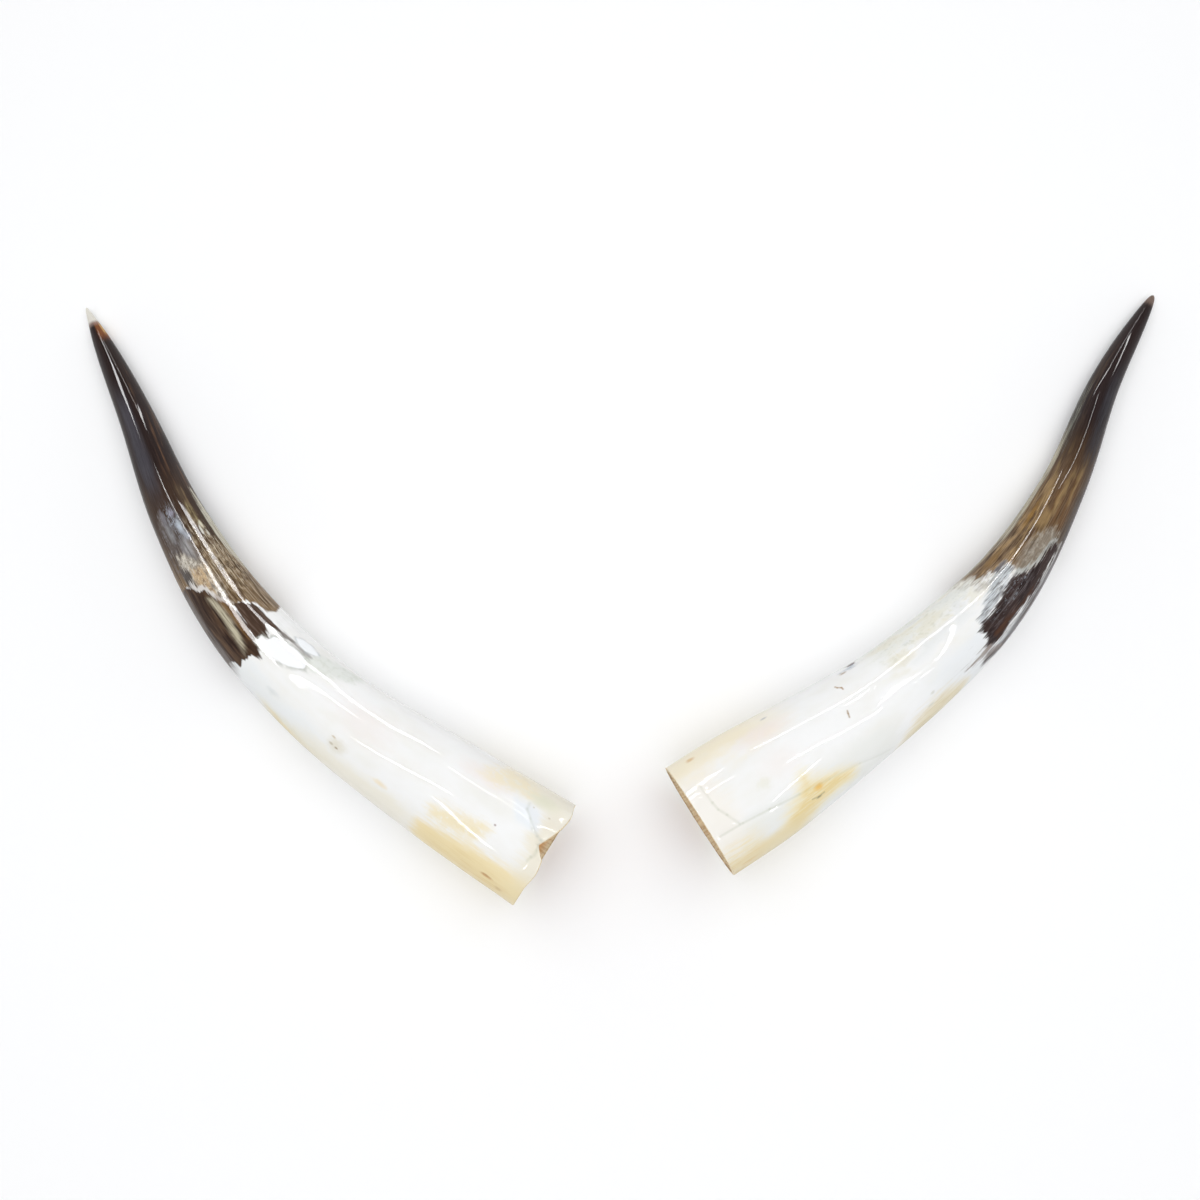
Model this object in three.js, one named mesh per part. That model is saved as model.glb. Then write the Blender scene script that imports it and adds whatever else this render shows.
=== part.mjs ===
// A pair of polished cow horns lying on their sides, tips outwards, cut bases towards each other.
// Each horn is one hollow sheath of keratin: open at the cut base, solid towards the tip.
// Millimetres, +Z up. Origin: middle of the pair's bounding box, at the surface the horns lie on.
import * as THREE from "three";

// Driving dimensions shared by both horns
const HEIGHT_TO_WIDTH_AT_BASE = 0.92; // the base is a slightly flattened oval
const HEIGHT_TO_WIDTH_AT_TIP = 1.0; // the tip is round
const FACETS_AROUND = 32;
const STEPS_PER_STATION = 3;

// A profile has one station per row, measured along the horn from the cut base to the tip.
// wall is the sheath's thickness there; stations without one are in the solid end of the horn.
// A path holds the centre line's points in the lying pose, from the cut base to the tip.
// turn is 1 where the horn bends to the left on its way to the tip, seen from above, or else -1.
const LEFT_HORN = {
  name: "left_horn",
  colour: 0xcdb98f,
  turn: -1,
  profile: [
    { along: 0, halfWidth: 52, wall: 4 },
    { along: 60, halfWidth: 50, wall: 4.5 },
    { along: 120, halfWidth: 47.5, wall: 5 },
    { along: 210, halfWidth: 42, wall: 6 },
    { along: 300, halfWidth: 37.5, wall: 8.5 },
    { along: 390, halfWidth: 32, wall: 14 },
    { along: 480, halfWidth: 25 },
    { along: 570, halfWidth: 18.2 },
    { along: 640, halfWidth: 13 },
    { along: 680, halfWidth: 8.7 },
    { along: 708, halfWidth: 4.6 },
    { along: 719, halfWidth: 2.4 },
    { along: 722, halfWidth: 0 },
  ],
  hollowDepth: 465,
  path: [
    [-70, -251, 47.6],
    [-171, -187, 45],
    [-270, -119, 40],
    [-356, -36, 33],
    [-423, 63, 24],
    [-475, 171, 16],
    [-532, 280, 7],
  ],
  // A chip out of the rim on the upper side, with the wall pushed in beside it.
  // Angles are in degrees, from the inside of the bend over the top.
  chip: {
    deepest: 78.75,
    from: 48,
    to: 91,
    depth: 9,
    dent: 4,
    dentMiddle: 64,
    dentHalfSpan: 28,
    reach: 45, // how far from the rim the wall is disturbed
  },
};
const RIGHT_HORN = {
  name: "right_horn",
  colour: 0xc8b48c,
  turn: 1,
  profile: [
    { along: 0, halfWidth: 56, wall: 4 },
    { along: 60, halfWidth: 55, wall: 4.5 },
    { along: 120, halfWidth: 50, wall: 5 },
    { along: 210, halfWidth: 42, wall: 6 },
    { along: 300, halfWidth: 37, wall: 8.5 },
    { along: 390, halfWidth: 29, wall: 13 },
    { along: 480, halfWidth: 21.3 },
    { along: 570, halfWidth: 16.2 },
    { along: 640, halfWidth: 11.5 },
    { along: 678, halfWidth: 7.6 },
    { along: 697, halfWidth: 4.8 },
    { along: 706, halfWidth: 2.5 },
    { along: 709, halfWidth: 0 },
  ],
  hollowDepth: 455,
  path: [
    [68, -221, 51.5],
    [169, -157, 48],
    [268, -88, 39.3],
    [356, -7, 30.2],
    [423, 92, 20],
    [474, 200, 13.3],
    [531, 293, 6],
  ],
};

// The horn before it is bent: its half section turned about its own length, the lathe's Y axis.
// The outline runs from the tip down the skin, across the rim and up the hollow to its end.
function straightHorn({ profile, hollowDepth }) {
  const skin = profile.map(({ along, halfWidth }) => new THREE.Vector2(halfWidth, along));
  const hollow = profile
    .filter(({ wall }) => wall)
    .map(({ along, halfWidth, wall }) => new THREE.Vector2(halfWidth - wall, along));
  hollow.push(new THREE.Vector2(0, hollowDepth));
  const outline = [
    ...smoothPoints(skin).reverse(),
    ...smoothPoints(hollow),
  ];
  return new THREE.LatheGeometry(outline, FACETS_AROUND);
}

// Points of a smooth curve through the given ones; the first and last stay exactly where they are.
function smoothPoints(points) {
  return new THREE.SplineCurve(points).getPoints((points.length - 1) * STEPS_PER_STATION);
}

// 1 at the middle of a span, falling evenly to 0 at its two ends.
function peak(angle, from, middle, to) {
  const share = angle < middle ? (angle - from) / (middle - from) : (to - angle) / (to - middle);
  return Math.max(0, share);
}

// Chips the rim and pushes the wall in beside the chip, on the straight horn.
function chipRim(spot, { deepest, from, to, depth, dent, dentMiddle, dentHalfSpan, reach }) {
  const angle = THREE.MathUtils.radToDeg(Math.atan2(spot.up, spot.across));
  const radius = Math.hypot(spot.up, spot.across);
  const nearRim = Math.max(0, 1 - spot.along / reach);
  const dentPeak = peak(angle, dentMiddle - dentHalfSpan, dentMiddle, dentMiddle + dentHalfSpan);
  const pushedIn = dent * nearRim * dentPeak;
  const scale = radius > pushedIn ? 1 - pushedIn / radius : 1;
  return {
    across: spot.across * scale,
    up: spot.up * scale,
    along: spot.along + depth * nearRim * peak(angle, from, deepest, to),
  };
}

// Carries each point of the straight horn to the curved centre line. Sections stay upright, so the
// cut base is a vertical plane, square to the horn's own direction there.
function bendHorn(geometry, horn) {
  const path = new THREE.CatmullRomCurve3(horn.path.map((point) => new THREE.Vector3(...point)));
  const length = horn.profile.at(-1).along;
  const position = geometry.getAttribute("position");
  for (let i = 0; i < position.count; i += 1) {
    let spot = { across: position.getX(i), along: position.getY(i), up: position.getZ(i) };
    if (horn.chip) spot = chipRim(spot, horn.chip);
    const share = THREE.MathUtils.clamp(spot.along / length, 0, 1);
    const centre = path.getPointAt(share);
    const heading = path.getTangentAt(share).setZ(0).normalize();
    const flatness = THREE.MathUtils.lerp(HEIGHT_TO_WIDTH_AT_BASE, HEIGHT_TO_WIDTH_AT_TIP, share);
    position.setXYZ(
      i,
      centre.x - horn.turn * heading.y * spot.across,
      centre.y + horn.turn * heading.x * spot.across,
      centre.z + flatness * spot.up,
    );
  }
  return geometry;
}

// A horn that bends to the right is a mirror image of its straight form, so its faces are reversed.
function faceOutwards(geometry, turn) {
  if (turn > 0) return geometry;
  const corners = geometry.getIndex().array;
  for (let i = 0; i < corners.length; i += 3) {
    [corners[i + 1], corners[i + 2]] = [corners[i + 2], corners[i + 1]];
  }
  return geometry;
}

// One horn lying on the surface, its lowest point at height 0.
function makeHorn(horn) {
  const bent = bendHorn(straightHorn(horn), horn);
  const geometry = faceOutwards(bent, horn.turn);
  geometry.deleteAttribute("uv");
  geometry.computeVertexNormals();
  geometry.computeBoundingBox();
  geometry.translate(0, 0, -geometry.boundingBox.min.z);
  const keratin = new THREE.MeshStandardMaterial({
    color: horn.colour,
    roughness: 0.22,
    metalness: 0,
  });
  const mesh = new THREE.Mesh(geometry, keratin);
  mesh.name = horn.name;
  return mesh;
}

const pair = new THREE.Group();
pair.add(makeHorn(LEFT_HORN), makeHorn(RIGHT_HORN));

// Centre the pair on the origin in plan.
const middle = new THREE.Box3().setFromObject(pair).getCenter(new THREE.Vector3());
pair.children.forEach((horn) => horn.position.set(-middle.x, -middle.y, 0));

export default pair;
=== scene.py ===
"""A pair of polished cow horns lying on a pale floor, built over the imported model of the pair."""

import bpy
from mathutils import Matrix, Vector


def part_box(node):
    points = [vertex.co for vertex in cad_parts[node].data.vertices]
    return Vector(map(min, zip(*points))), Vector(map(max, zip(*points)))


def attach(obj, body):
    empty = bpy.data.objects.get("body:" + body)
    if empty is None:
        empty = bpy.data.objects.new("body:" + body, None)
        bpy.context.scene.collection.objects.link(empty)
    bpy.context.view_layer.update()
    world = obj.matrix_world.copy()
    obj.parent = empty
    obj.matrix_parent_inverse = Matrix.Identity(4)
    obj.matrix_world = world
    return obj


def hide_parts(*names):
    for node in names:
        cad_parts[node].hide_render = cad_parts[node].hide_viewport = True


bl_info = {
    "name": "Polished Cow Horns",
    "version": (1, 0, 0),
    "blender": (4, 5, 0),
    "location": "View3D > Sidebar > Horns",
    "description": "Builds a pair of polished, hollow cow horns and a plain studio around them",
    "category": "Object",
}

import math
from typing import NamedTuple

import bpy
import numpy as np
from mathutils import Matrix, Vector

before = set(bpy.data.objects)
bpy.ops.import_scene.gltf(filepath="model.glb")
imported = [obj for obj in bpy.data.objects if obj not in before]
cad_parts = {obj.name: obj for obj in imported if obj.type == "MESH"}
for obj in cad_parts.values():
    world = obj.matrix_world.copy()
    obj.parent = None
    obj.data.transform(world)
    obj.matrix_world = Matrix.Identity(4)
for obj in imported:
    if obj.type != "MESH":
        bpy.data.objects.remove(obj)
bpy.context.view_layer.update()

MM = 0.001
BODY = "root"

# Proportions of both horns, how finely curves are followed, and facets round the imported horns
HEIGHT_TO_WIDTH_AT_BASE = 0.92
HEIGHT_TO_WIDTH_AT_TIP = 1.0
CURVE_SAMPLES = 4001
PACKED_FACETS = 32
UNIFORM, CENTRIPETAL = 0, 0.5  # spacing of a curve's points


class HornForm(NamedTuple):
    """One horn in millimetres: its widths, its wall, and its centre line as it lies, base first."""

    node: str
    turn: int  # 1 where the horn bends to the left on its way to the tip, seen from above
    skin: tuple  # (along, half width)
    wall: tuple  # (along, thickness of the sheath)
    hollow_depth: float
    path: tuple  # (x, y, z)
    wave_seed: int
    grain_seed: float
    dented: bool = False
    creases: tuple = ()  # lines of (along, degrees around) where a shallow groove runs


LEFT_FORM = HornForm(
    node="left_horn",
    turn=-1,
    skin=(
        (0, 52), (60, 50), (120, 47.5), (210, 42), (300, 37.5), (390, 32), (480, 25),
        (570, 18.2), (640, 13), (680, 8.7), (708, 3.9), (719, 1.6), (722, 0),
    ),
    wall=((0, 4), (60, 4.5), (120, 5), (210, 6), (300, 8.5), (390, 14)),
    hollow_depth=465,
    path=(
        (-70, -251, 47.6), (-171, -187, 45), (-270, -119, 40), (-356, -36, 33),
        (-423, 63, 24), (-475, 171, 16), (-532, 280, 7),
    ),
    wave_seed=11,
    grain_seed=1.0,
    dented=True,
)
RIGHT_LONG_CREASE = ((6, -17), (29, -18), (55, -21), (84, -26), (114, -33), (145, -42), (176, -60))
RIGHT_SHORT_CREASE = ((15, 30), (16, 12), (17, 4), (21, -4), (26, -17))
RIGHT_FORM = HornForm(
    node="right_horn",
    turn=1,
    skin=(
        (0, 56), (60, 55), (120, 50), (210, 42), (300, 37), (390, 29), (480, 21.3),
        (570, 16.2), (640, 11.5), (678, 7.6), (697, 4.8), (706, 2.5), (709, 0),
    ),
    wall=((0, 4), (60, 4.5), (120, 5), (210, 6), (300, 8.5), (390, 13)),
    hollow_depth=455,
    path=(
        (68, -221, 51.5), (169, -157, 48), (268, -88, 39.3), (356, -7, 30.2),
        (423, 92, 20), (474, 200, 13.3), (531, 293, 6),
    ),
    wave_seed=23,
    grain_seed=2.0,
    creases=(RIGHT_LONG_CREASE, RIGHT_SHORT_CREASE),
)


# Curves and small formulas

def smooth_curve(points, count, spacing):
    """Points of a Catmull-Rom curve; a uniform one repeats its end points."""
    given = np.array(points, float)
    if spacing:
        ends = 2 * given[0] - given[1], 2 * given[-1] - given[-2]
    else:
        ends = given[0], given[-1]
    padded = np.vstack([ends[0], given, ends[1]])
    place = np.linspace(0, len(given) - 1, count)
    first = np.minimum(place.astype(int), len(given) - 2)
    share = (place - first)[:, None]
    before, start, end, after = (padded[first + k] for k in range(4))

    def step(a, b):
        return np.linalg.norm(b - a, axis=1)[:, None] ** spacing

    d0, d1, d2 = step(before, start), step(start, end), step(end, after)
    leave = ((start - before) / d0 - (end - before) / (d0 + d1) + (end - start) / d1) * d1
    arrive = ((end - start) / d1 - (after - start) / (d1 + d2) + (after - end) / d2) * d1
    return (
        start
        + leave * share
        + (3 * (end - start) - 2 * leave - arrive) * share**2
        + (2 * (start - end) + leave + arrive) * share**3
    )


def smooth_step(value, low, high):
    share = np.clip((value - low) / (high - low), 0, 1)
    return share * share * (3 - 2 * share)


def hump(value, middle, half_span):
    """1 at the middle, falling smoothly to 0 at half_span on each side."""
    return 1 - smooth_step(np.abs(value - middle), 0, half_span)


# The chip and dent in the left rim: angles in degrees from the inside of the bend over the top,
# lengths in millimetres. The curves are powers that shape a slope.
CHIP_START, CHIP_DEEPEST, CHIP_END, CHIP_DEPTH = 49, 80, 91, 9
CHIP_REACH, CHIP_REACH_CURVE = 42, 1.5
CHIP_START_CURVE, CHIP_END_CURVE = 1.6, 0.8
LIP_ANGLES, LIP_SPAN, LIP_REACH = (36, 106), 22, 2.4
DENT_EDGE = ((30, 26), (44, 35), (56, 35), (63, 29), (70, 21), (75, 12), (80, 6))  # (angle, along)
DENT_DEPTH, DENT_RISES, DENT_FALLS = 4.2, (30, 50), (78, 86)
BULGE_ANGLE, BULGE_SPAN, BULGE_LENGTH, BULGE_HEIGHT = 96, 20, 10.5, 1.3


def dent_rim(along, angle, radius):
    """Chips the rim and pushes the wall in beside the chip, on the straight horn."""
    near = np.clip(1 - along / CHIP_REACH, 0, 1)
    rise = np.clip((angle - CHIP_START) / (CHIP_DEEPEST - CHIP_START), 0, 1) ** CHIP_START_CURVE
    fall = np.clip((CHIP_END - angle) / (CHIP_END - CHIP_DEEPEST), 0, 1) ** CHIP_END_CURVE
    chip = CHIP_DEPTH * np.minimum(rise, fall)
    lips = sum(LIP_REACH * hump(angle, middle, LIP_SPAN) for middle in LIP_ANGLES)
    edge = np.interp(angle, *np.array(DENT_EDGE, float).T)
    window = smooth_step(angle, *DENT_RISES) * (1 - smooth_step(angle, *DENT_FALLS))
    pushed = DENT_DEPTH * window * np.clip(1 - along / edge, 0, 1)
    bulge = BULGE_HEIGHT * hump(angle, BULGE_ANGLE, BULGE_SPAN)
    bulge = bulge * np.clip(1 - along / BULGE_LENGTH, 0, 1)
    return along + (chip - lips) * near**CHIP_REACH_CURVE, np.maximum(radius - pushed + bulge, 0)


WAVES = 14
WAVE_LENGTHS = (28, 75)  # millimetres
WAVE_STRETCH = np.array([1.0, 1.0, 0.8])  # fewer crests along the horn than across it


def surface_waves(straight, seed, height):
    """Slow hand-worked unevenness of the skin, the same at every run."""
    draw = np.random.default_rng(seed)
    total = np.zeros(len(straight))
    for _ in range(WAVES):
        direction = draw.normal(size=3) * WAVE_STRETCH
        direction /= np.linalg.norm(direction)
        length = draw.uniform(*WAVE_LENGTHS)
        total += np.sin(straight @ direction * (2 * math.pi / length) + draw.uniform(0, 2 * math.pi))
    return height * total / math.sqrt(WAVES)


# The skin laid flat, for grooves and outlined marks. Around is in degrees from the top of the lying
# horn, positive towards the inside of its bend.
LEAST_FLAT_RADIUS = 10.0


def half_width(form, along):
    """Half width of the horn at its stations, and straight between them."""
    return np.interp(along, *np.array(form.skin, float).T)


def laid_flat(form, along, around):
    """Millimetres along and around the horn; the thin tip is treated as a little thicker."""
    radius = np.maximum(half_width(form, along), LEAST_FLAT_RADIUS)
    return np.stack([along, np.radians(around) * radius], -1)


def points_laid_flat(form, straight):
    """Points of the straight horn, laid flat."""
    return laid_flat(form, straight[:, 2], np.degrees(np.arctan2(straight[:, 0], straight[:, 1])))


def line_distance(spots, corners):
    """Distance from the nearest stretch of a line."""
    nearest = np.full(len(spots), np.inf)
    for start, end in zip(corners[:-1], corners[1:]):
        reach = end - start
        share = np.clip((spots - start) @ reach / (reach @ reach), 0, 1)
        gap = np.linalg.norm(spots - start - share[:, None] * reach, axis=1)
        nearest = np.minimum(nearest, gap)
    return nearest


def outline_distance(spots, corners):
    """Distance from a closed outline, positive inside it."""
    closed = np.vstack([corners, corners[:1]])
    inside = np.zeros(len(spots), bool)
    for start, end in zip(closed[:-1], closed[1:]):
        rise = end[1] - start[1]
        if rise:
            crossing = start[0] + (spots[:, 1] - start[1]) * (end[0] - start[0]) / rise
            between = (start[1] > spots[:, 1]) != (end[1] > spots[:, 1])
            inside ^= between & (spots[:, 0] < crossing)
    distance = line_distance(spots, closed)
    return np.where(inside, distance, -distance)


def groove_depth(form, straight, settings):
    """How far the creases sink into the skin at each point of the straight horn."""
    spots = points_laid_flat(form, straight)
    depth = np.zeros(len(straight))
    for crease in form.creases:
        corners = laid_flat(form, *np.array(crease, float).T)
        distance = line_distance(spots, corners)
        depth = np.maximum(depth, hump(distance, 0, settings.crease_width / MM))
    return depth * settings.crease_depth / MM


# Horn meshes: rings are close together at the tip and near the rim, and even between, in millimetres
TIP_ZONE, TIP_RINGS, TIP_CROWDING = 40, 30, 1.7
BODY_STEP = 2.6
RIM_ZONE, RIM_RINGS = 70, 76
CORNER_RINGS, FACE_RINGS = 6, 5
HOLLOW_RINGS, HOLLOW_CROWDING = 64, 0.9
POLISHED_CORNER_RINGS = 2  # the polish ends this far into the rim's rounded edge
FULL_WAVE_RADIUS, LEAST_WAVE_SHARE = 34, 0.1  # the waves fade on the thin end of the horn
HOLLOW_FINENESS = 3.1  # how much finer the hollow's unevenness is than the skin's


def outline_rings(form, settings):
    """The half section from the tip over the skin, rim and hollow: along, radius, and inside flags."""
    skin = smooth_curve(form.skin, CURVE_SAMPLES, UNIFORM)
    hollow_points = [(along, half_width(form, along) - wall) for along, wall in form.wall]
    hollow = smooth_curve(hollow_points + [(form.hollow_depth, 0)], CURVE_SAMPLES, UNIFORM)
    rounding = settings.rim_rounding / MM
    length = form.skin[-1][0]
    tip_zone = np.linspace(0, 1, TIP_RINGS) ** TIP_CROWDING * TIP_ZONE
    body = np.arange(TIP_ZONE, length - RIM_ZONE, BODY_STEP)[1:]
    rim_zone = np.linspace(RIM_ZONE, rounding, RIM_RINGS)
    skin_along = np.concatenate([length - tip_zone, length - body, rim_zone])
    skin_radius = np.interp(skin_along, skin[:, 0], skin[:, 1])
    corner = np.linspace(0, math.pi / 2, CORNER_RINGS)[1:]
    base_radius, base_wall = form.skin[0][1], form.wall[0][1]
    corner_along = rounding - rounding * np.sin(corner)
    outer_corner = base_radius - rounding + rounding * np.cos(corner)
    face_radius = np.linspace(outer_corner[-1], base_radius - base_wall + rounding, FACE_RINGS)[1:]
    inner_corner = base_radius - base_wall + rounding - rounding * np.cos(corner[::-1])
    hollow_share = np.linspace(0, 1, HOLLOW_RINGS) ** HOLLOW_CROWDING
    hollow_along = rounding + (form.hollow_depth - rounding) * hollow_share
    hollow_along[-1] = form.hollow_depth
    hollow_radius = np.interp(hollow_along, hollow[:, 0], hollow[:, 1])
    along = np.concatenate(
        [skin_along, corner_along, np.zeros(len(face_radius)), corner_along[::-1][1:], hollow_along]
    )
    radius = np.concatenate(
        [skin_radius, outer_corner, face_radius, inner_corner[::-1][1:], hollow_radius]
    )
    inside = np.arange(len(along)) >= len(skin_along) + POLISHED_CORNER_RINGS
    return along, radius, inside


def place_on_path(form, along, across, up):
    """Carries points of the straight horn to the curved centre line, in millimetres."""
    path = smooth_curve(form.path, CURVE_SAMPLES, CENTRIPETAL)
    steps = np.linalg.norm(np.diff(path, axis=0), axis=1)
    travelled = np.concatenate([[0], np.cumsum(steps)])
    travelled /= travelled[-1]
    heading = np.gradient(path, axis=0)[:, :2]
    heading /= np.linalg.norm(heading, axis=1)[:, None]
    share = np.clip(along / form.skin[-1][0], 0, 1)
    centre = np.stack([np.interp(share, travelled, path[:, k]) for k in range(3)], -1)
    ahead = np.stack([np.interp(share, travelled, heading[:, k]) for k in range(2)], -1)
    below = np.minimum(along, 0)
    centre[..., :2] += ahead * below[..., None]
    flatness = HEIGHT_TO_WIDTH_AT_BASE + (HEIGHT_TO_WIDTH_AT_TIP - HEIGHT_TO_WIDTH_AT_BASE) * share
    return np.stack(
        [
            centre[..., 0] - form.turn * ahead[..., 1] * across,
            centre[..., 1] + form.turn * ahead[..., 0] * across,
            centre[..., 2] + flatness * up,
        ],
        -1,
    )


def horn_mesh(form, settings):
    """Vertices (metres), faces, face material numbers and straight-horn places (millimetres)."""
    along_ring, radius_ring, inside_ring = outline_rings(form, settings)
    around = settings.around_steps
    angle = np.arange(around) * (360.0 / around) - 90
    along, angles = np.meshgrid(along_ring[1:-1], angle, indexing="ij")
    radius = np.repeat(radius_ring[1:-1, None], around, axis=1)
    inside = np.repeat(inside_ring[1:-1, None], around, axis=1)
    turned = np.radians(angles)
    straight = np.stack([radius * np.cos(turned), radius * np.sin(turned), along], -1).reshape(-1, 3)
    tip_fade = np.clip(radius / FULL_WAVE_RADIUS, LEAST_WAVE_SHARE, 1) ** 2
    wave = surface_waves(straight, form.wave_seed, settings.wave_height / MM).reshape(radius.shape)
    groove = groove_depth(form, straight, settings).reshape(radius.shape)
    finer = straight * HOLLOW_FINENESS
    rough = surface_waves(finer, form.wave_seed + 1, settings.hollow_roughness / MM)
    shaped = radius + np.where(inside, rough.reshape(radius.shape), wave * tip_fade - groove)
    shaped_along = along
    if form.dented:
        shaped_along, shaped = dent_rim(along, angles, shaped)
    tip_and_end = np.array([[0, 0, along_ring[0]], [0, 0, along_ring[-1]]])
    bent = place_on_path(
        form,
        np.concatenate([shaped_along.ravel(), tip_and_end[:, 2]]),
        np.concatenate([(shaped * np.cos(turned)).ravel(), [0, 0]]),
        np.concatenate([(shaped * np.sin(turned)).ravel(), [0, 0]]),
    )
    count = along.size
    rings = len(along_ring) - 2
    grid = np.arange(count).reshape(rings, around)
    after = np.roll(grid, -1, axis=1)
    quads = np.stack([grid[:-1], grid[1:], after[1:], after[:-1]], -1).reshape(-1, 4)
    tip = np.stack([np.full(around, count), grid[0], after[0]], -1)
    end = np.stack([np.full(around, count + 1), after[-1], grid[-1]], -1)
    faces = quads.tolist() + tip.tolist() + end.tolist()
    if form.turn > 0:
        faces = [face[::-1] for face in faces]
    quad_inside = np.repeat(inside_ring[2:-1], around)
    materials = np.concatenate([quad_inside, np.zeros(around), np.ones(around)]).astype(np.int32)
    return bent, faces, materials, np.concatenate([straight, tip_and_end])


def settle_on_box(points, form):
    """Moves the finished points (millimetres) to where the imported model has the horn, in metres."""
    low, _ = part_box(form.node)
    skin = smooth_curve(form.skin, CURVE_SAMPLES, UNIFORM)
    angle = np.radians(np.arange(0, 360, 360 / PACKED_FACETS))
    along = np.repeat(skin[:, 0], len(angle))
    across = np.outer(skin[:, 1], np.cos(angle)).ravel()
    up = np.outer(skin[:, 1], np.sin(angle)).ravel()
    plain_low = place_on_path(form, along, across, up).min(axis=0)
    settled = (points + np.array(low) / MM - plain_low) * MM
    settled[:, 2] = np.maximum(settled[:, 2], low[2])
    return settled


def add_object(name, data):
    """A new object in the scene."""
    made = bpy.data.objects.new(name, data)
    bpy.context.scene.collection.objects.link(made)
    return made


def make_horn(form, settings, marks, skin, hollow):
    """The horn's mesh with its materials, and with the attributes that its marks need."""
    points, faces, materials, straight = horn_mesh(form, settings)
    mesh = bpy.data.meshes.new(form.node + "_polished")
    mesh.from_pydata(settle_on_box(points, form).tolist(), [], faces)
    mesh.materials.append(skin)
    mesh.materials.append(hollow)
    mesh.polygons.foreach_set("material_index", materials)
    mesh.polygons.foreach_set("use_smooth", np.ones(len(faces), bool))
    place = mesh.attributes.new(PLACE, "FLOAT_VECTOR", "POINT")
    place.data.foreach_set("vector", straight.astype(np.float32).ravel())
    spots = points_laid_flat(form, straight)
    for number, mark in enumerate(marks):
        if isinstance(mark, Outline):
            corners = laid_flat(form, *np.array(mark.corners, float).T)
            distance = mesh.attributes.new(outline_name(number), "FLOAT", "POINT")
            distance.data.foreach_set("value", outline_distance(spots, corners).astype(np.float32))
    mesh.update()
    if mesh.validate():
        raise RuntimeError(form.node + " has broken faces")
    horn = add_object(mesh.name, mesh)
    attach(horn, BODY)
    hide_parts(form.node)


# Shader nodes

PLACE = "straight_mm"
FLOAT, VECTOR = "NodeSocketFloat", "NodeSocketVector"
GRAIN, PATCH, OUTLINE = "horn_grain", "horn_patch", "horn_outline"
SPOT, LINE = "horn_spot", "horn_line"
HOLLOW = "horn_hollow"
MIX_MASK, MIX_UNDER, MIX_OVER, MIX_RESULT = 0, 6, 7, 2  # colour sockets of a mix node


def outline_name(number):
    """Name of the mesh attribute that holds the distance from a mark's outline."""
    return f"outline_{number}"


def linear(hex_colour):
    """A colour written as #rrggbb, in linear light with alpha."""
    parts = [int(hex_colour[k : k + 2], 16) / 255 for k in (1, 3, 5)]
    return tuple(((c + 0.055) / 1.055) ** 2.4 if c > 0.04045 else c / 12.92 for c in parts) + (1.0,)


def opaque(colour):
    return (*colour, 1.0)


class Sketch:
    """Adds nodes to a tree; a value given to a socket is either a number or another socket."""

    def __init__(self, tree):
        self.tree = tree

    def node(self, kind, inputs=None, **settings):
        made = self.tree.nodes.new(kind)
        for key, value in settings.items():
            setattr(made, key, value)
        for key, value in (inputs or {}).items():
            self.feed(made.inputs[key], value)
        return made

    def feed(self, socket, value):
        if isinstance(value, bpy.types.NodeSocket):
            self.tree.links.new(value, socket)
        else:
            socket.default_value = value

    def group(self, name, inputs):
        return self.node("ShaderNodeGroup", inputs, node_tree=bpy.data.node_groups[name])

    def math(self, operation, *values):
        return self.node("ShaderNodeMath", dict(enumerate(values)), operation=operation).outputs[0]

    def vector(self, operation, *values):
        return self.node("ShaderNodeVectorMath", dict(enumerate(values)), operation=operation)

    def scaled(self, vector, factor):
        inputs = {0: vector, "Scale": factor}
        return self.node("ShaderNodeVectorMath", inputs, operation="SCALE").outputs[0]

    def step(self, value, low, high):
        """0 below low, 1 above high, and a smooth rise between."""
        inputs = {"Value": value, "From Min": low, "From Max": high}
        return self.node(
            "ShaderNodeMapRange", inputs, interpolation_type="SMOOTHSTEP", clamp=True
        ).outputs[0]

    def edge(self, value, place, softness):
        """0 below a place and 1 above it, with a smooth rise across it."""
        low = self.math("SUBTRACT", place, softness)
        return self.step(value, low, self.math("ADD", place, softness))

    def mix(self, mask, under, over, blend="MIX"):
        made = self.node("ShaderNodeMix", data_type="RGBA", blend_type=blend)
        self.feed(made.inputs[MIX_MASK], mask)
        self.feed(made.inputs[MIX_UNDER], under)
        self.feed(made.inputs[MIX_OVER], over)
        return made.outputs[MIX_RESULT]

    def surface(self, inputs):
        """A principled shader, put out as a material's surface."""
        shader = self.node("ShaderNodeBsdfPrincipled", inputs)
        self.node("ShaderNodeOutputMaterial", {"Surface": shader.outputs[0]})


def new_group(name, inputs, outputs):
    """Makes a shader group; returns a sketch of it, what it is given and what it puts out."""
    tree = bpy.data.node_groups.new(name, "ShaderNodeTree")
    for label, kind in inputs:
        tree.interface.new_socket(name=label, in_out="INPUT", socket_type=kind)
    for label, kind in outputs:
        tree.interface.new_socket(name=label, in_out="OUTPUT", socket_type=kind)
    sketch = Sketch(tree)
    return sketch, sketch.node("NodeGroupInput").outputs, sketch.node("NodeGroupOutput").inputs


# Noise of the grain: cells round the horn over 2 pi, length of a cell in millimetres, and detail
GRAIN_FIELDS = (
    ("Fine Streak", 22.0, 26.0, 3.0),
    ("Coarse Streak", 7.0, 46.0, 3.0),
    ("Mottle", 8.0, 7.0, 4.0),
    ("Waver", 2.5, 42.0, 2.0),
    ("Short Streak", 34.0, 11.0, 4.0),
    ("Speckle", 24.0, 3.0, 3.0),
)
NOISE_GAIN = 2.6
NOISE_ROUGHNESS = 0.6
FIELD_SHIFT = 7.3  # how far apart the fields lie in the noise


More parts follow.
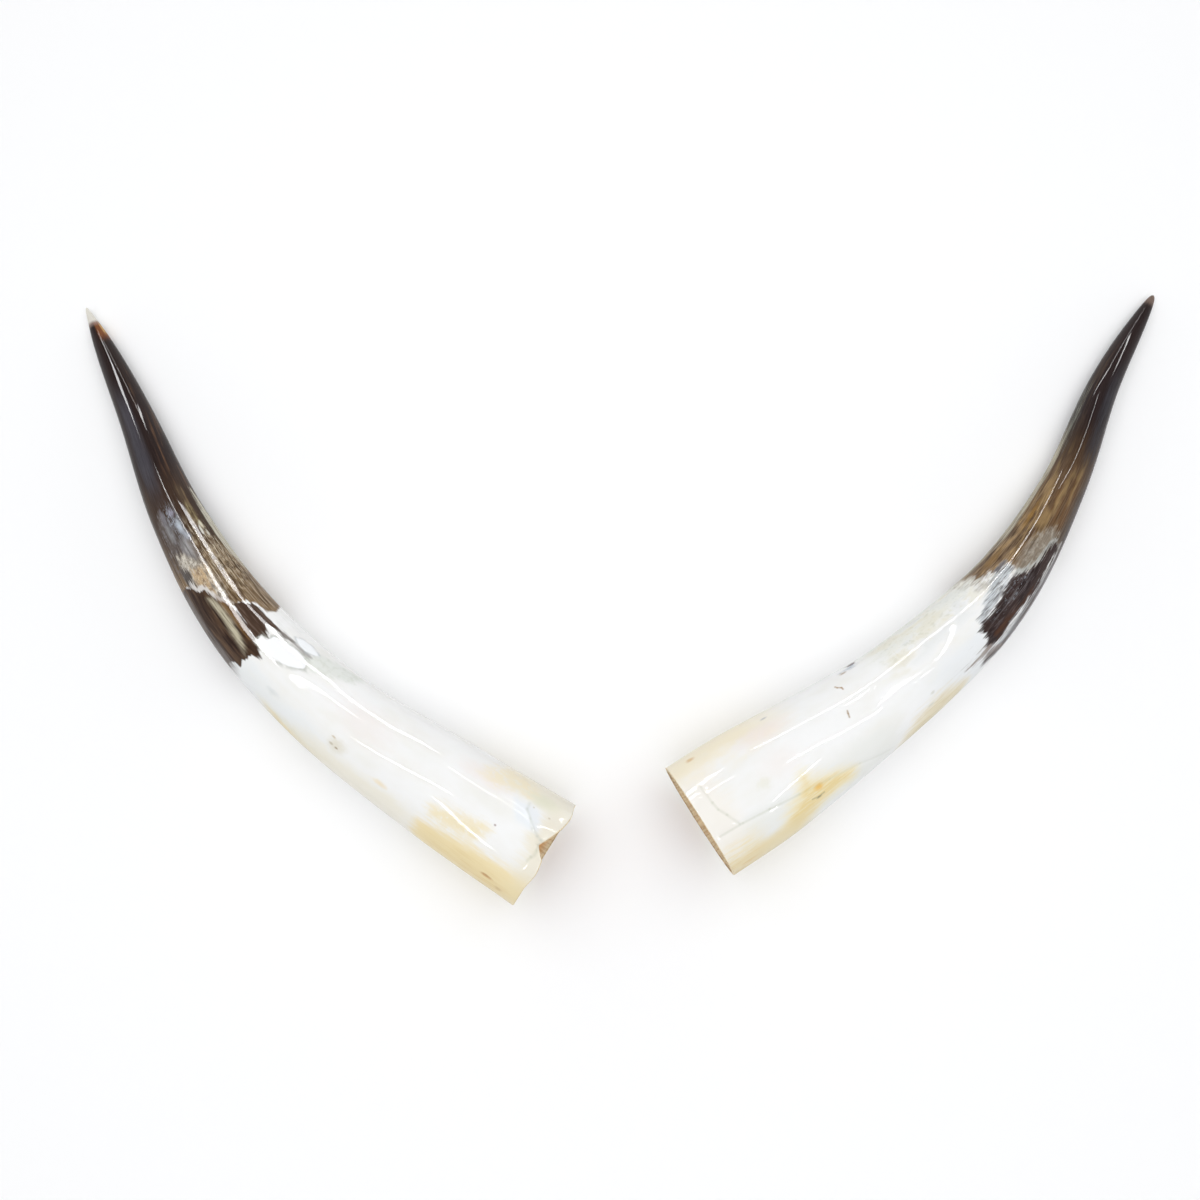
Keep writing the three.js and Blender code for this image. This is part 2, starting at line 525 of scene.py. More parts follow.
def grain_group():
    """Where a point is on the straight horn, and the streaks and mottles that follow the fibres."""
    outputs = [("Along", FLOAT), ("Around", FLOAT), ("Place", VECTOR)]
    outputs += [(field[0], FLOAT) for field in GRAIN_FIELDS]
    sketch, given, put = new_group(GRAIN, [("Seed", FLOAT)], outputs)
    place = sketch.node("ShaderNodeAttribute", attribute_name=PLACE).outputs["Vector"]
    parts = sketch.node("ShaderNodeSeparateXYZ", {0: place}).outputs
    turned = sketch.math("ARCTAN2", parts[0], parts[1])
    sketch.feed(put["Along"], parts[2])
    sketch.feed(put["Around"], sketch.math("DEGREES", turned))
    sketch.feed(put["Place"], place)
    flat = sketch.vector("MULTIPLY", place, (1, 1, 0)).outputs[0]
    direction = sketch.vector("NORMALIZE", flat).outputs[0]
    for number, (label, cells, length, detail) in enumerate(GRAIN_FIELDS):
        ring = sketch.scaled(direction, cells)
        run = sketch.math("MULTIPLY_ADD", parts[2], 1 / length, number * FIELD_SHIFT)
        lift = sketch.node("ShaderNodeCombineXYZ", {2: run}).outputs[0]
        spot = sketch.vector("ADD", ring, lift).outputs[0]
        inputs = {"Vector": spot, "W": given["Seed"], "Scale": 1.0}
        inputs |= {"Detail": detail, "Roughness": NOISE_ROUGHNESS}
        noise = sketch.node("ShaderNodeTexNoise", inputs, noise_dimensions="4D")
        centred = sketch.math("SUBTRACT", noise.outputs[0], 0.5)
        sketch.feed(put[label], sketch.math("MULTIPLY", centred, NOISE_GAIN))


# What each kind of mark takes from the grain, and its own values
PATCH_LINKS = ("Along", "Around", "Fine Streak", "Coarse Streak", "Mottle", "Waver")
OUTLINE_LINKS = ("Fine Streak", "Coarse Streak", "Mottle")
SPOT_LINKS = ("Along", "Around", "Fine Streak", "Mottle")
GAP_VALUES = ("Gain", "Cover", "Share")
PATCH_VALUES = (
    "Along Start", "Along End", "Around Start", "Around End", "End Softness", "Side Softness",
    "Ragged", "Waver Span", "Lean", *GAP_VALUES, "Strength",
)
OUTLINE_VALUES = ("Grow", "Softness", "Ragged", *GAP_VALUES, "Strength")
SPOT_VALUES = (
    "Middle Along", "Middle Around", "Half Length", "Half Width", "Softness", "Ragged", "Strength",
)
GAP_SOFTNESS = 0.2
MOTTLE_SHARE = 0.4  # how much mottles move the edge of a patch, an outline or a line
STREAK_SHARE = 0.5  # how much fine streaks move the edge of a spot


def kept_share(sketch, given):
    """How much of a mark its gaps leave standing."""
    signed = sketch.math("MULTIPLY", given["Pattern"], given["Gain"])
    gaps = sketch.math("SUBTRACT", 1.0, sketch.edge(signed, given["Cover"], GAP_SOFTNESS))
    kept = sketch.math("SUBTRACT", 1.0, sketch.math("MULTIPLY", gaps, given["Share"]))
    return sketch.math("MULTIPLY", kept, given["Strength"])


def patch_group():
    """A patch between two places along and two around, with fibrous ends and wavering sides."""
    inputs = [(name, FLOAT) for name in (*PATCH_LINKS, "Pattern", *PATCH_VALUES)]
    sketch, given, put = new_group(PATCH, inputs, [("Mask", FLOAT)])
    both = sketch.math("ADD", given["Fine Streak"], given["Coarse Streak"])
    leaned = sketch.math("MULTIPLY_ADD", given["Around"], given["Lean"], given["Along"])
    ragged = sketch.math("MULTIPLY_ADD", both, given["Ragged"], leaned)
    wavering = sketch.math("MULTIPLY_ADD", given["Waver"], given["Waver Span"], given["Around"])
    mottled = sketch.math("MULTIPLY", given["Mottle"], MOTTLE_SHARE)
    wavering = sketch.math("MULTIPLY_ADD", mottled, given["Waver Span"], wavering)

    def window(value, start, end, softness):
        begun = sketch.edge(value, start, softness)
        return sketch.math("SUBTRACT", begun, sketch.edge(value, end, softness))

    ends = window(ragged, given["Along Start"], given["Along End"], given["End Softness"])
    sides = window(wavering, given["Around Start"], given["Around End"], given["Side Softness"])
    mask = sketch.math("MULTIPLY", sketch.math("MULTIPLY", ends, sides), kept_share(sketch, given))
    sketch.feed(put["Mask"], mask)


def outline_group():
    """A patch inside a drawn outline, with a fibrous edge."""
    inputs = [(name, FLOAT) for name in ("Distance", *OUTLINE_LINKS, "Pattern", *OUTLINE_VALUES)]
    sketch, given, put = new_group(OUTLINE, inputs, [("Mask", FLOAT)])
    both = sketch.math("ADD", given["Fine Streak"], given["Coarse Streak"])
    uneven = sketch.math("MULTIPLY_ADD", given["Mottle"], MOTTLE_SHARE, both)
    distance = sketch.math("MULTIPLY_ADD", uneven, given["Ragged"], given["Distance"])
    distance = sketch.math("ADD", distance, given["Grow"])
    inside = sketch.edge(distance, 0.0, given["Softness"])
    sketch.feed(put["Mask"], sketch.math("MULTIPLY", inside, kept_share(sketch, given)))


def spot_group():
    """A rounded spot with a wavering edge."""
    inputs = [(name, FLOAT) for name in (*SPOT_LINKS, *SPOT_VALUES)]
    sketch, given, put = new_group(SPOT, inputs, [("Mask", FLOAT)])
    run = sketch.math("SUBTRACT", given["Along"], given["Middle Along"])
    run = sketch.math("DIVIDE", run, given["Half Length"])
    side = sketch.math("SUBTRACT", given["Around"], given["Middle Around"])
    side = sketch.math("DIVIDE", side, given["Half Width"])
    squared = sketch.math("MULTIPLY_ADD", run, run, sketch.math("MULTIPLY", side, side))
    uneven = sketch.math("MULTIPLY_ADD", given["Fine Streak"], STREAK_SHARE, given["Mottle"])
    distance = sketch.math("MULTIPLY_ADD", uneven, given["Ragged"], sketch.math("SQRT", squared))
    mask = sketch.math("SUBTRACT", 1.0, sketch.edge(distance, 1.0, given["Softness"]))
    sketch.feed(put["Mask"], sketch.math("MULTIPLY", mask, given["Strength"]))


def line_group():
    """A thin line on the straight horn between two points, a little uneven in width."""
    inputs = [("Place", VECTOR), ("Start", VECTOR), ("End", VECTOR)]
    inputs += [(name, FLOAT) for name in ("Mottle", "Half Width", "Strength")]
    sketch, given, put = new_group(LINE, inputs, [("Mask", FLOAT)])
    reach = sketch.vector("SUBTRACT", given["End"], given["Start"]).outputs[0]
    offset = sketch.vector("SUBTRACT", given["Place"], given["Start"]).outputs[0]
    along = sketch.vector("DOT_PRODUCT", offset, reach).outputs["Value"]
    length = sketch.vector("DOT_PRODUCT", reach, reach).outputs["Value"]
    share = sketch.node("ShaderNodeClamp", {0: sketch.math("DIVIDE", along, length)}).outputs[0]
    gap = sketch.vector("SUBTRACT", offset, sketch.scaled(reach, share)).outputs[0]
    distance = sketch.vector("LENGTH", gap).outputs["Value"]
    uneven = sketch.math("MULTIPLY_ADD", given["Mottle"], MOTTLE_SHARE, distance)
    mask = sketch.math("SUBTRACT", 1.0, sketch.step(uneven, 0.0, given["Half Width"]))
    sketch.feed(put["Mask"], sketch.math("MULTIPLY", mask, given["Strength"]))


# Some of the marks below are painted shade or a painted sheen, as noted where they stand.
# Markings. Along is in millimetres from the base; around is in degrees from the top of the lying
# horn, positive towards the inside of its bend.

class Gaps(NamedTuple):
    """Where a mark is left out: the share of it where a field of the grain is below a level."""

    pattern: str = "Fine Streak"
    cover: float = 0.1
    share: float = 1
    gain: float = 1  # -1 turns the field over

    def values(self):
        return (self.gain, self.cover, self.share)


NO_GAPS = Gaps(share=0)


class Patch(NamedTuple):
    """A stretch of skin between two places along and two around."""

    colour: str
    along: tuple
    around: tuple = (-200, 200)
    soft: tuple = (4, 5)  # millimetres at the ends, degrees at the sides
    ragged: float = 8
    waver: float = 6
    lean: float = 0
    gaps: Gaps = NO_GAPS
    strength: float = 1

    def values(self):
        edges = (*self.along, *self.around, *self.soft, self.ragged, self.waver, self.lean)
        return (*edges, *self.gaps.values(), self.strength)


class Outline(NamedTuple):
    """The skin inside corners of (along, around), or a little outside them where it grows."""

    colour: str
    corners: tuple
    grow: float = 0
    soft: float = 1.2
    ragged: float = 3
    gaps: Gaps = NO_GAPS
    strength: float = 1

    def values(self):
        return (self.grow, self.soft, self.ragged, *self.gaps.values(), self.strength)


class Spot(NamedTuple):
    """A rounded spot; its half size is in millimetres along and degrees around."""

    colour: str
    middle: tuple
    half: tuple
    soft: float = 0.4
    ragged: float = 0.5
    strength: float = 1

    def values(self):
        return (*self.middle, *self.half, self.soft, self.ragged, self.strength)


class Line(NamedTuple):
    """A straight line from place to place; its half width is in millimetres."""

    colour: str
    start: tuple
    end: tuple
    half_width: float
    strength: float


def drawn_line(colour, places, half_width, strength):
    """Line marks from place to place."""
    return tuple(
        Line(colour, start, end, half_width, strength) for start, end in zip(places[:-1], places[1:])
    )


# Outlines of the left horn's markings, from the photo's view; the underside is a guess
LEFT_BROWN = (
    (342, 84), (338, 62), (342, 48), (354, 44), (359, 35), (364, 27), (365, 9), (375, 0), (384, -7),
    (393, -12), (396, -23), (403, -30), (408, -41), (402, -90), (385, -190), (760, -190), (760, 190),
    (362, 190), (340, 158), (356, 140), (330, 118), (352, 100),
)
LEFT_HAZE = (
    (484, -26), (468, -7), (458, 2), (440, 6), (420, 12), (384, 11), (368, 8), (376, 2), (393, -10),
    (403, -28), (420, -40), (449, -42), (470, -42),
)
LEFT_CREAM = (
    (439, -30), (434, -14), (428, -3), (422, 8), (411, 10), (399, 12), (383, 10), (371, 8), (379, 2),
    (389, -4), (395, -8), (400, -21), (405, -24), (415, -18), (421, -24), (429, -32),
)
LEFT_TAN_MOTTLE = (
    (418, -8), (416, 5), (407, 8), (398, 7), (386, 2), (380, 0), (390, -7), (400, -16), (407, -16),
)
LEFT_WHITE_EDGE = (
    (411, -30), (401, -20), (398, -10), (389, -4), (379, 4), (369, 12), (363, 10), (373, -1),
    (382, -9), (391, -14), (394, -25), (402, -32),
)
LEFT_OUTER_DARK = (
    (403, -30), (396, -23), (393, -12), (384, -7), (375, 0), (365, 9), (356, 14), (340, 10),
    (326, 3), (316, -1), (307, -7), (313, -10), (318, -14), (318, -20), (321, -32), (318, -44),
    (326, -46), (331, -58), (322, -90), (318, -190), (397, -190), (411, -90), (408, -43),
)
LEFT_GREEN_STREAK = (
    (387, -18), (384, -9), (377, -4), (365, -2), (353, -2), (340, -6), (326, -14), (322, -21),
    (339, -18), (352, -15), (365, -14), (378, -16),
)
LEFT_OCHRE_EDGE = (
    (382, -1), (371, 4), (364, 7), (353, 6), (340, 2), (330, -3), (344, -2), (356, -2), (368, -4),
)
LEFT_INNER_DARK = (
    (365, 14), (365, 22), (360, 30), (357, 38), (349, 42), (339, 41), (331, 42), (320, 42), (309, 42),
    (299, 43), (303, 39), (312, 35), (323, 36), (331, 33), (331, 28), (325, 24), (318, 20), (326, 16),
    (324, 6), (331, 6), (346, 11), (358, 12),
)
LEFT_GREY_TAIL = (
    (322, 42), (309, 43), (299, 44), (288, 45), (278, 42), (284, 38), (294, 38), (303, 38), (312, 35),
)
LEFT_OVAL = (
    (324, 5), (325, 14), (318, 16), (316, 27), (310, 30), (300, 34), (292, 36), (283, 35), (275, 30),
    (274, 24), (279, 17), (285, 12), (292, 8), (301, 6), (312, 4),
)
LEFT_SMALL_OVAL = (
    (303, 51), (297, 58), (287, 60), (278, 56), (274, 53), (279, 48), (287, 44), (296, 45),
)
LEFT_VEIL = (
    (282, 36), (278, 46), (274, 59), (260, 66), (244, 74), (226, 78), (231, 56), (244, 42), (256, 35),
    (269, 26), (275, 25),
)
LEFT_INNER_STRIP = (
    (498, 77), (466, 68), (452, 66), (439, 66), (426, 70), (411, 78), (394, 86), (372, 98),
    (398, 104), (430, 101), (462, 96), (484, 88),
)
LEFT_BASE_BAND = (
    (110, -38), (96, -36), (83, -34), (69, -31), (55, -28), (40, -28), (24, -28), (9, -27), (-8, -24),
    (-8, -150), (40, -140), (84, -112), (112, -74),
)
LEFT_BASE_PATCH = (
    (108, -14), (96, -9), (86, -8), (72, -5), (59, -1), (52, -4), (54, -14), (60, -24), (81, -30),
    (102, -28),
)
LEFT_UPPER_TAN = (
    (86, 44), (78, 64), (66, 84), (44, 76), (33, 58), (37, 46), (48, 48), (61, 43), (72, 38),
)
# Paths of painted shade along the dent's crease and beside the chip's lip
LEFT_DENT_SHADE_LINE = ((35, 41), (34, 34), (27, 27), (19, 20), (10, 16), (4, 15), (0, 14))
LEFT_LIP_SHADE_LINE = ((0, 12), (4, 4), (10, -4), (11.5, -9))

LEFT_MARKS = (
    # Tints and stains on the white, and painted shade in the dent by the chip
    Patch("#e9dfc0", (-10, 110), (96, 200), soft=(40, 24), waver=20, strength=0.7),
    Patch("#e7dab4", (-10, 130), (-200, -104), soft=(40, 24), waver=20, strength=0.8),
    Patch("#e3e6e6", (215, 340), (-80, -22), soft=(26, 14), waver=16, strength=0.7),
    Patch("#e3dfcb", (206, 284), (-120, -50), soft=(16, 7), waver=8, strength=0.85),
    Patch("#e0cb93", (222, 280), (-104, -58), soft=(16, 7), waver=12, gaps=Gaps(share=0.6), strength=0.8),
    Outline("#dcdfd9", LEFT_VEIL, soft=4, strength=0.8),
    Outline("#cdd0c6", LEFT_VEIL, soft=4, gaps=Gaps("Mottle"), strength=0.45),
    Patch("#e8e3d2", (112, 236), (-96, -36), soft=(26, 11), waver=14, strength=0.75),
    Spot("#cfd3d3", (281, -30), (5, 3.5), soft=0.9, ragged=1, strength=0.6),
    Spot("#e9e1dd", (196, 16), (26, 18), soft=0.9, strength=0.5),
    Spot("#ece2dc", (80, 42), (22, 11), soft=0.9, strength=0.6),
    Outline("#ead9ac", LEFT_BASE_BAND, soft=8, ragged=6, strength=0.95),
    Patch("#e3cf9e", (22, 106), (-66, -38), soft=(16, 7), waver=8, gaps=Gaps(share=0.6), strength=0.8),
    Patch("#dcc593", (-10, 60), (-90, -52), soft=(18, 8), waver=10, gaps=Gaps(share=0.7), strength=0.7),
    Outline("#e9dcb9", LEFT_BASE_PATCH, soft=8, ragged=5, gaps=Gaps("Mottle", -0.2, share=0.5),
            strength=0.9),
    Patch("#e8e3d2", (-10, 62), (44, 110), soft=(22, 10), waver=10, strength=0.9),
    Outline("#ece0c2", LEFT_UPPER_TAN, soft=9, ragged=6, gaps=Gaps("Mottle", -0.1, share=0.6),
            strength=0.75),
    Spot("#dcdcc6", (25, 53), (11, 8), soft=0.8, strength=0.7),
    Patch("#e6d7ad", (-10, 12), (-110, -24), soft=(8, 10), strength=0.7),
    # Painted shade of the dent round the chip: a cream-grey tint, and a pale bluish band beside the crease
    Patch("#e4dcc6", (-10, 17), (-34, 46), soft=(9, 12), strength=0.7),
    Patch("#e3e8ec", (3, 30), (17, 38), ragged=2, lean=-0.5, strength=0.7),
    Spot("#e6d3a8", (155, -31), (6, 3), soft=0.8, strength=0.6),
    Spot("#b98a58", (34, -51), (5.5, 1.8), soft=0.7, ragged=0.6, strength=0.8),
    Spot("#c9b084", (19, -59), (3.4, 3), soft=0.7, strength=0.6),
    Spot("#a59490", (50, 3), (1.1, 1.0), soft=0.6, ragged=0.4, strength=0.9),
    Spot("#c7bfae", (30, 40), (0.9, 0.9), soft=0.6, strength=0.6),
    Spot("#c4b9a0", (14, 40), (1.0, 1.0), soft=0.6, strength=0.6),
    Spot("#d3cbb4", (206, -25), (8, 7), soft=0.9, strength=0.6),
    Spot("#9a8768", (205, -28), (1.7, 1.2), soft=0.6, ragged=0.7, strength=0.8),
    Spot("#b3a88f", (211, -27), (2.0, 1.4), soft=0.7, ragged=0.7, strength=0.7),
    Spot("#b9a67c", (212, -18), (2.4, 1.2), soft=0.7, ragged=0.7, strength=0.6),
    # Painted shade: soft grey-green lines along the dent's crease and beside the chip's lip
    *drawn_line("#b4bab0", LEFT_DENT_SHADE_LINE, 2.6, 0.26),
    *drawn_line("#b9baa4", LEFT_LIP_SHADE_LINE, 2.4, 0.32),
    # The brown and near-black end
    Outline("#7d674c", LEFT_BROWN, soft=1.6, ragged=3.5),
    Outline("#ab9d88", LEFT_BROWN, grow=-3, soft=4, gaps=Gaps(cover=0.2), strength=0.85),
    Outline("#c3b08e", LEFT_BROWN, grow=-3, soft=4, gaps=Gaps("Short Streak", 0.42), strength=0.7),
    Outline("#4c3b2d", LEFT_BROWN, grow=-2, soft=4, gaps=Gaps(cover=0.18, gain=-1), strength=0.85),
    Outline("#4c3b2d", LEFT_BROWN, soft=3, gaps=Gaps("Short Streak", 0.35, gain=-1), strength=0.6),
    Patch("#53402f", (428, 760), soft=(18, 5), ragged=16, strength=0.85),
    Patch("#3b2d26", (455, 760), soft=(26, 5), ragged=16, strength=0.85),
    Patch("#2b2221", (515, 760), soft=(24, 5), ragged=12, strength=0.92),
    Patch("#3b3434", (540, 700), (-140, -25), soft=(30, 12), strength=0.5),
    # Painted sheen: a bluish-grey tint over the top of the dark end
    Patch("#4b494f", (505, 610), (-30, 4), soft=(26, 11), strength=0.8),
    Patch("#5c4433", (462, 640), (28, 95), soft=(34, 8), gaps=Gaps("Coarse Streak", 0.2), strength=0.8),
    Patch("#8d7a5d", (462, 500), (34, 50), soft=(8, 5), gaps=Gaps("Coarse Streak", share=0.8),
          strength=0.7),
    Patch("#a89a70", (460, 482), (38, 48), ragged=5, gaps=Gaps(cover=0.0, share=0.9), strength=0.8),
    # The pale strip inside the bend and the flecks beside it
    Patch("#3f3025", (372, 480), (10, 72), soft=(14, 8), gaps=Gaps("Mottle", 0.15, gain=-1),
          strength=0.65),
    Patch("#b9ab93", (372, 462), (10, 72), soft=(14, 8), gaps=Gaps("Mottle", 0.25), strength=0.6),
    Patch("#cdc2ab", (386, 458), (16, 62), soft=(14, 8), gaps=Gaps("Short Streak", 0.18), strength=0.8),
    Outline("#c9c5b3", LEFT_INNER_STRIP, soft=3, ragged=5, gaps=Gaps(cover=-0.25, share=0.9),
            strength=0.9),
    Outline("#8d8573", LEFT_INNER_STRIP, soft=3, gaps=Gaps(cover=0.15, gain=-1), strength=0.6),
    Patch("#3a2b22", (436, 500), (54, 66), soft=(8, 4), ragged=6, waver=3, strength=0.8),
    Spot("#d2ccb4", (456, 46), (4.5, 3.0), soft=0.5, ragged=0.8, strength=0.9),
    Spot("#d8d6cc", (449, 40), (5.5, 2.4), soft=0.4, ragged=0.6, strength=0.9),
    Spot("#cfcbbd", (444, 49), (4.0, 2.4), soft=0.4, ragged=0.8, strength=0.8),
    # The grey haze with its wisps, and the cream and tan mottles
    Outline("#5f5753", LEFT_HAZE, soft=4, ragged=5, strength=0.9),
    Spot("#928f9c", (478, 2), (4, 5), soft=0.9, ragged=0.8, strength=0.9),
    Spot("#bcc4cc", (461, 5.5), (7, 4.5), soft=0.8, ragged=0.9, strength=0.95),
    Spot("#a6aab2", (450, 10), (5, 5), soft=0.9, ragged=0.9, strength=0.9),
    Spot("#7f7c82", (476, -19), (8, 5), soft=0.9, ragged=1, strength=0.9),
    Spot("#949495", (461, -18), (8, 5), soft=0.9, ragged=1, strength=0.9),
    Spot("#a3a1a0", (437, 0), (10, 8), soft=0.9, ragged=1, strength=0.9),
    Outline("#8b898c", LEFT_HAZE, soft=4, gaps=Gaps("Mottle", 0.15), strength=0.65),
    Outline("#423935", LEFT_HAZE, soft=4, gaps=Gaps("Coarse Streak", 0.25, gain=-1), strength=0.7),
    Patch("#8f949c", (444, 488), (-16, 16), soft=(10, 7), gaps=Gaps("Short Streak", 0.15), strength=0.6),
    Patch("#b4bcc6", (452, 474), (-4, 13), soft=(6, 4), gaps=Gaps("Mottle", 0.2), strength=0.8),
    Patch("#a6acb6", (462, 484), (-10, 4), soft=(5, 4), gaps=Gaps("Speckle", 0.1), strength=0.7),
    Outline("#a0978a", LEFT_CREAM, soft=3.5, ragged=5, strength=0.95),
    Outline("#d2ccc0", LEFT_CREAM, soft=3, ragged=5, gaps=Gaps("Mottle", 0.05), strength=0.9),
    Outline("#6a6055", LEFT_CREAM, soft=3, gaps=Gaps("Speckle", 0.2, gain=-1), strength=0.7),
    Outline("#b59a76", LEFT_TAN_MOTTLE, soft=3.5, ragged=6, gaps=Gaps("Mottle", -0.1), strength=0.9),
    Outline("#8c6a44", LEFT_TAN_MOTTLE, soft=3.5, ragged=6, gaps=Gaps("Mottle", 0.15, gain=-1),
            strength=0.7),
    Outline("#d8c9ac", LEFT_TAN_MOTTLE, soft=3.5, ragged=6, gaps=Gaps("Speckle", 0.2), strength=0.75),
    Spot("#55504c", (413, -29), (9, 8), soft=0.5, ragged=0.7, strength=0.85),
    # The two dark patches that end in the white
    Outline("#d3cfcb", LEFT_WHITE_EDGE, soft=1.4, strength=0.95),
    Outline("#46352a", LEFT_OUTER_DARK, soft=1.0, ragged=2.6),
    Outline("#5f4a38", LEFT_OUTER_DARK, grow=-2, soft=3, gaps=Gaps("Coarse Streak"), strength=0.7),
    Outline("#291b16", LEFT_OUTER_DARK, grow=-2, soft=3, gaps=Gaps("Coarse Streak", 0.1, gain=-1),
            strength=0.8),
    Patch("#6f6864", (322, 404), (-150, -49), soft=(8, 4), waver=4, gaps=Gaps(cover=-0.1, share=0.7),
          strength=0.8),
    Outline("#80603c", LEFT_OCHRE_EDGE, soft=3.5, ragged=2, strength=0.8),
    Outline("#8a8170", LEFT_GREEN_STREAK, soft=3.6, ragged=2.2, strength=0.8),
    Outline("#c3bca4", LEFT_GREEN_STREAK, grow=-1.6, soft=2.4, ragged=2.2,
            gaps=Gaps(cover=-0.2, share=0.8), strength=0.85),
    Outline("#4a392f", LEFT_INNER_DARK, soft=0.9, ragged=2.2),
    Outline("#695a50", LEFT_INNER_DARK, grow=-2, soft=2.5, gaps=Gaps(cover=0.2), strength=0.6),
    Outline("#8d8884", LEFT_GREY_TAIL, soft=2.6, strength=0.9),
    # Ovals on the white
    Outline("#b4b6af", LEFT_OVAL, grow=1.8, soft=2.6, ragged=2.5, gaps=Gaps("Mottle", -0.1, share=0.8),
            strength=0.8),
    Outline("#f4f5f6", LEFT_OVAL, soft=0.8, ragged=1.0),
    Outline("#b9bfc3", LEFT_SMALL_OVAL, grow=1.6, soft=2.2, ragged=2.0,
            gaps=Gaps("Mottle", -0.1, share=0.8), strength=0.7),
    Outline("#f1f3f5", LEFT_SMALL_OVAL, soft=0.9, ragged=1.0),
    Patch("#b7b9b8", (286, 345), (42, 64), soft=(10, 5), gaps=Gaps(cover=0.3), strength=0.6),
    # The tip
    Patch("#7a4a2c", (680, 706), (12, 140), soft=(6, 14), ragged=1.5),
    Patch("#c29a5c", (686, 700), (56, 140), soft=(4, 10), ragged=1, strength=0.9),
    Patch("#a08a80", (698, 704), soft=(3, 5), ragged=1.2, strength=0.7),
    Patch("#d9d5cb", (702, 760), soft=(2.4, 5), ragged=1.2),
)

# Outlines of the right horn's markings
RIGHT_BROWN = (
    (330, 130), (335, 94), (345, 66), (348, 47), (357, 42), (363, 34), (371, 30), (377, 24), (375, 12),
    (379, -8), (388, -12), (397, -18), (406, -20), (415, -22), (422, -33), (426, -58), (420, -120),
    (400, -190), (760, -190), (760, 190), (345, 190),
)
RIGHT_GREY = (
    (375, 12), (374, 0), (380, -6), (389, -12), (397, -18), (405, -18), (414, -20), (420, -26),
    (430, -27), (432, -14), (428, 0), (420, 10), (413, 15), (402, 19), (386, 20),
)
RIGHT_GREY_EDGE = (
    (371, 12), (371, 0), (377, -7), (386, -13), (394, -19), (403, -21), (412, -23), (418, -30),
    (425, -32), (425, -25), (415, -17), (406, -14), (398, -12), (390, -7), (381, -1), (377, 8),
)
RIGHT_DARK = (
    (422, -33), (416, -23), (406, -21), (397, -19), (388, -13), (379, -8), (372, 2), (366, 4), (357, 4),
    (348, 3), (342, 0), (334, -2), (327, -4), (320, -6), (312, -8), (304, -10), (309, -20), (304, -22),
    (307, -32), (299, -35), (306, -41), (315, -47), (323, -46), (331, -44), (342, -43), (354, -43),
    (371, -43), (387, -43), (402, -44), (418, -46),
)
RIGHT_RED_BROWN = (
    (316, -28), (330, -29), (345, -31), (360, -33), (374, -35), (366, -41), (345, -40), (328, -42),
    (315, -44),
)
RIGHT_DARK_HAZE = (
    (370, 3), (354, 3), (336, -3), (318, -10), (320, -22), (336, -22), (352, -20), (372, -18), (384, -14),
)
RIGHT_OUTER_STRIP = (
    (610, -70), (548, -56), (487, -54), (447, -50), (413, -49), (381, -47), (343, -47), (318, -50),
    (300, -44), (293, -58), (312, -72), (300, -90), (328, -116), (390, -112), (460, -100), (540, -86),
)
RIGHT_STREAKS = (
    (366, 34), (375, 28), (376, 12), (369, 8), (354, 4), (342, 0), (327, -4), (312, -6), (312, 2),
    (325, 8), (332, 16), (340, 22), (350, 28),
)
RIGHT_TAIL = (
    (302, -34), (307, -44), (314, -48), (316, -60), (306, -60), (296, -48), (286, -43), (272, -42),
    (284, -37),
)
RIGHT_TAN = (
    (95, -13), (98, -24), (107, -27), (121, -33), (136, -42), (132, -50), (118, -50), (104, -50),
    (92, -53), (80, -58), (68, -62), (62, -50), (66, -42), (75, -34), (84, -30), (88, -22),
)
RIGHT_OLIVE = (
    (270, -56), (260, -48), (252, -42), (232, -41), (211, -46), (200, -54), (188, -68), (180, -92),
    (204, -108), (236, -100), (262, -82),
)

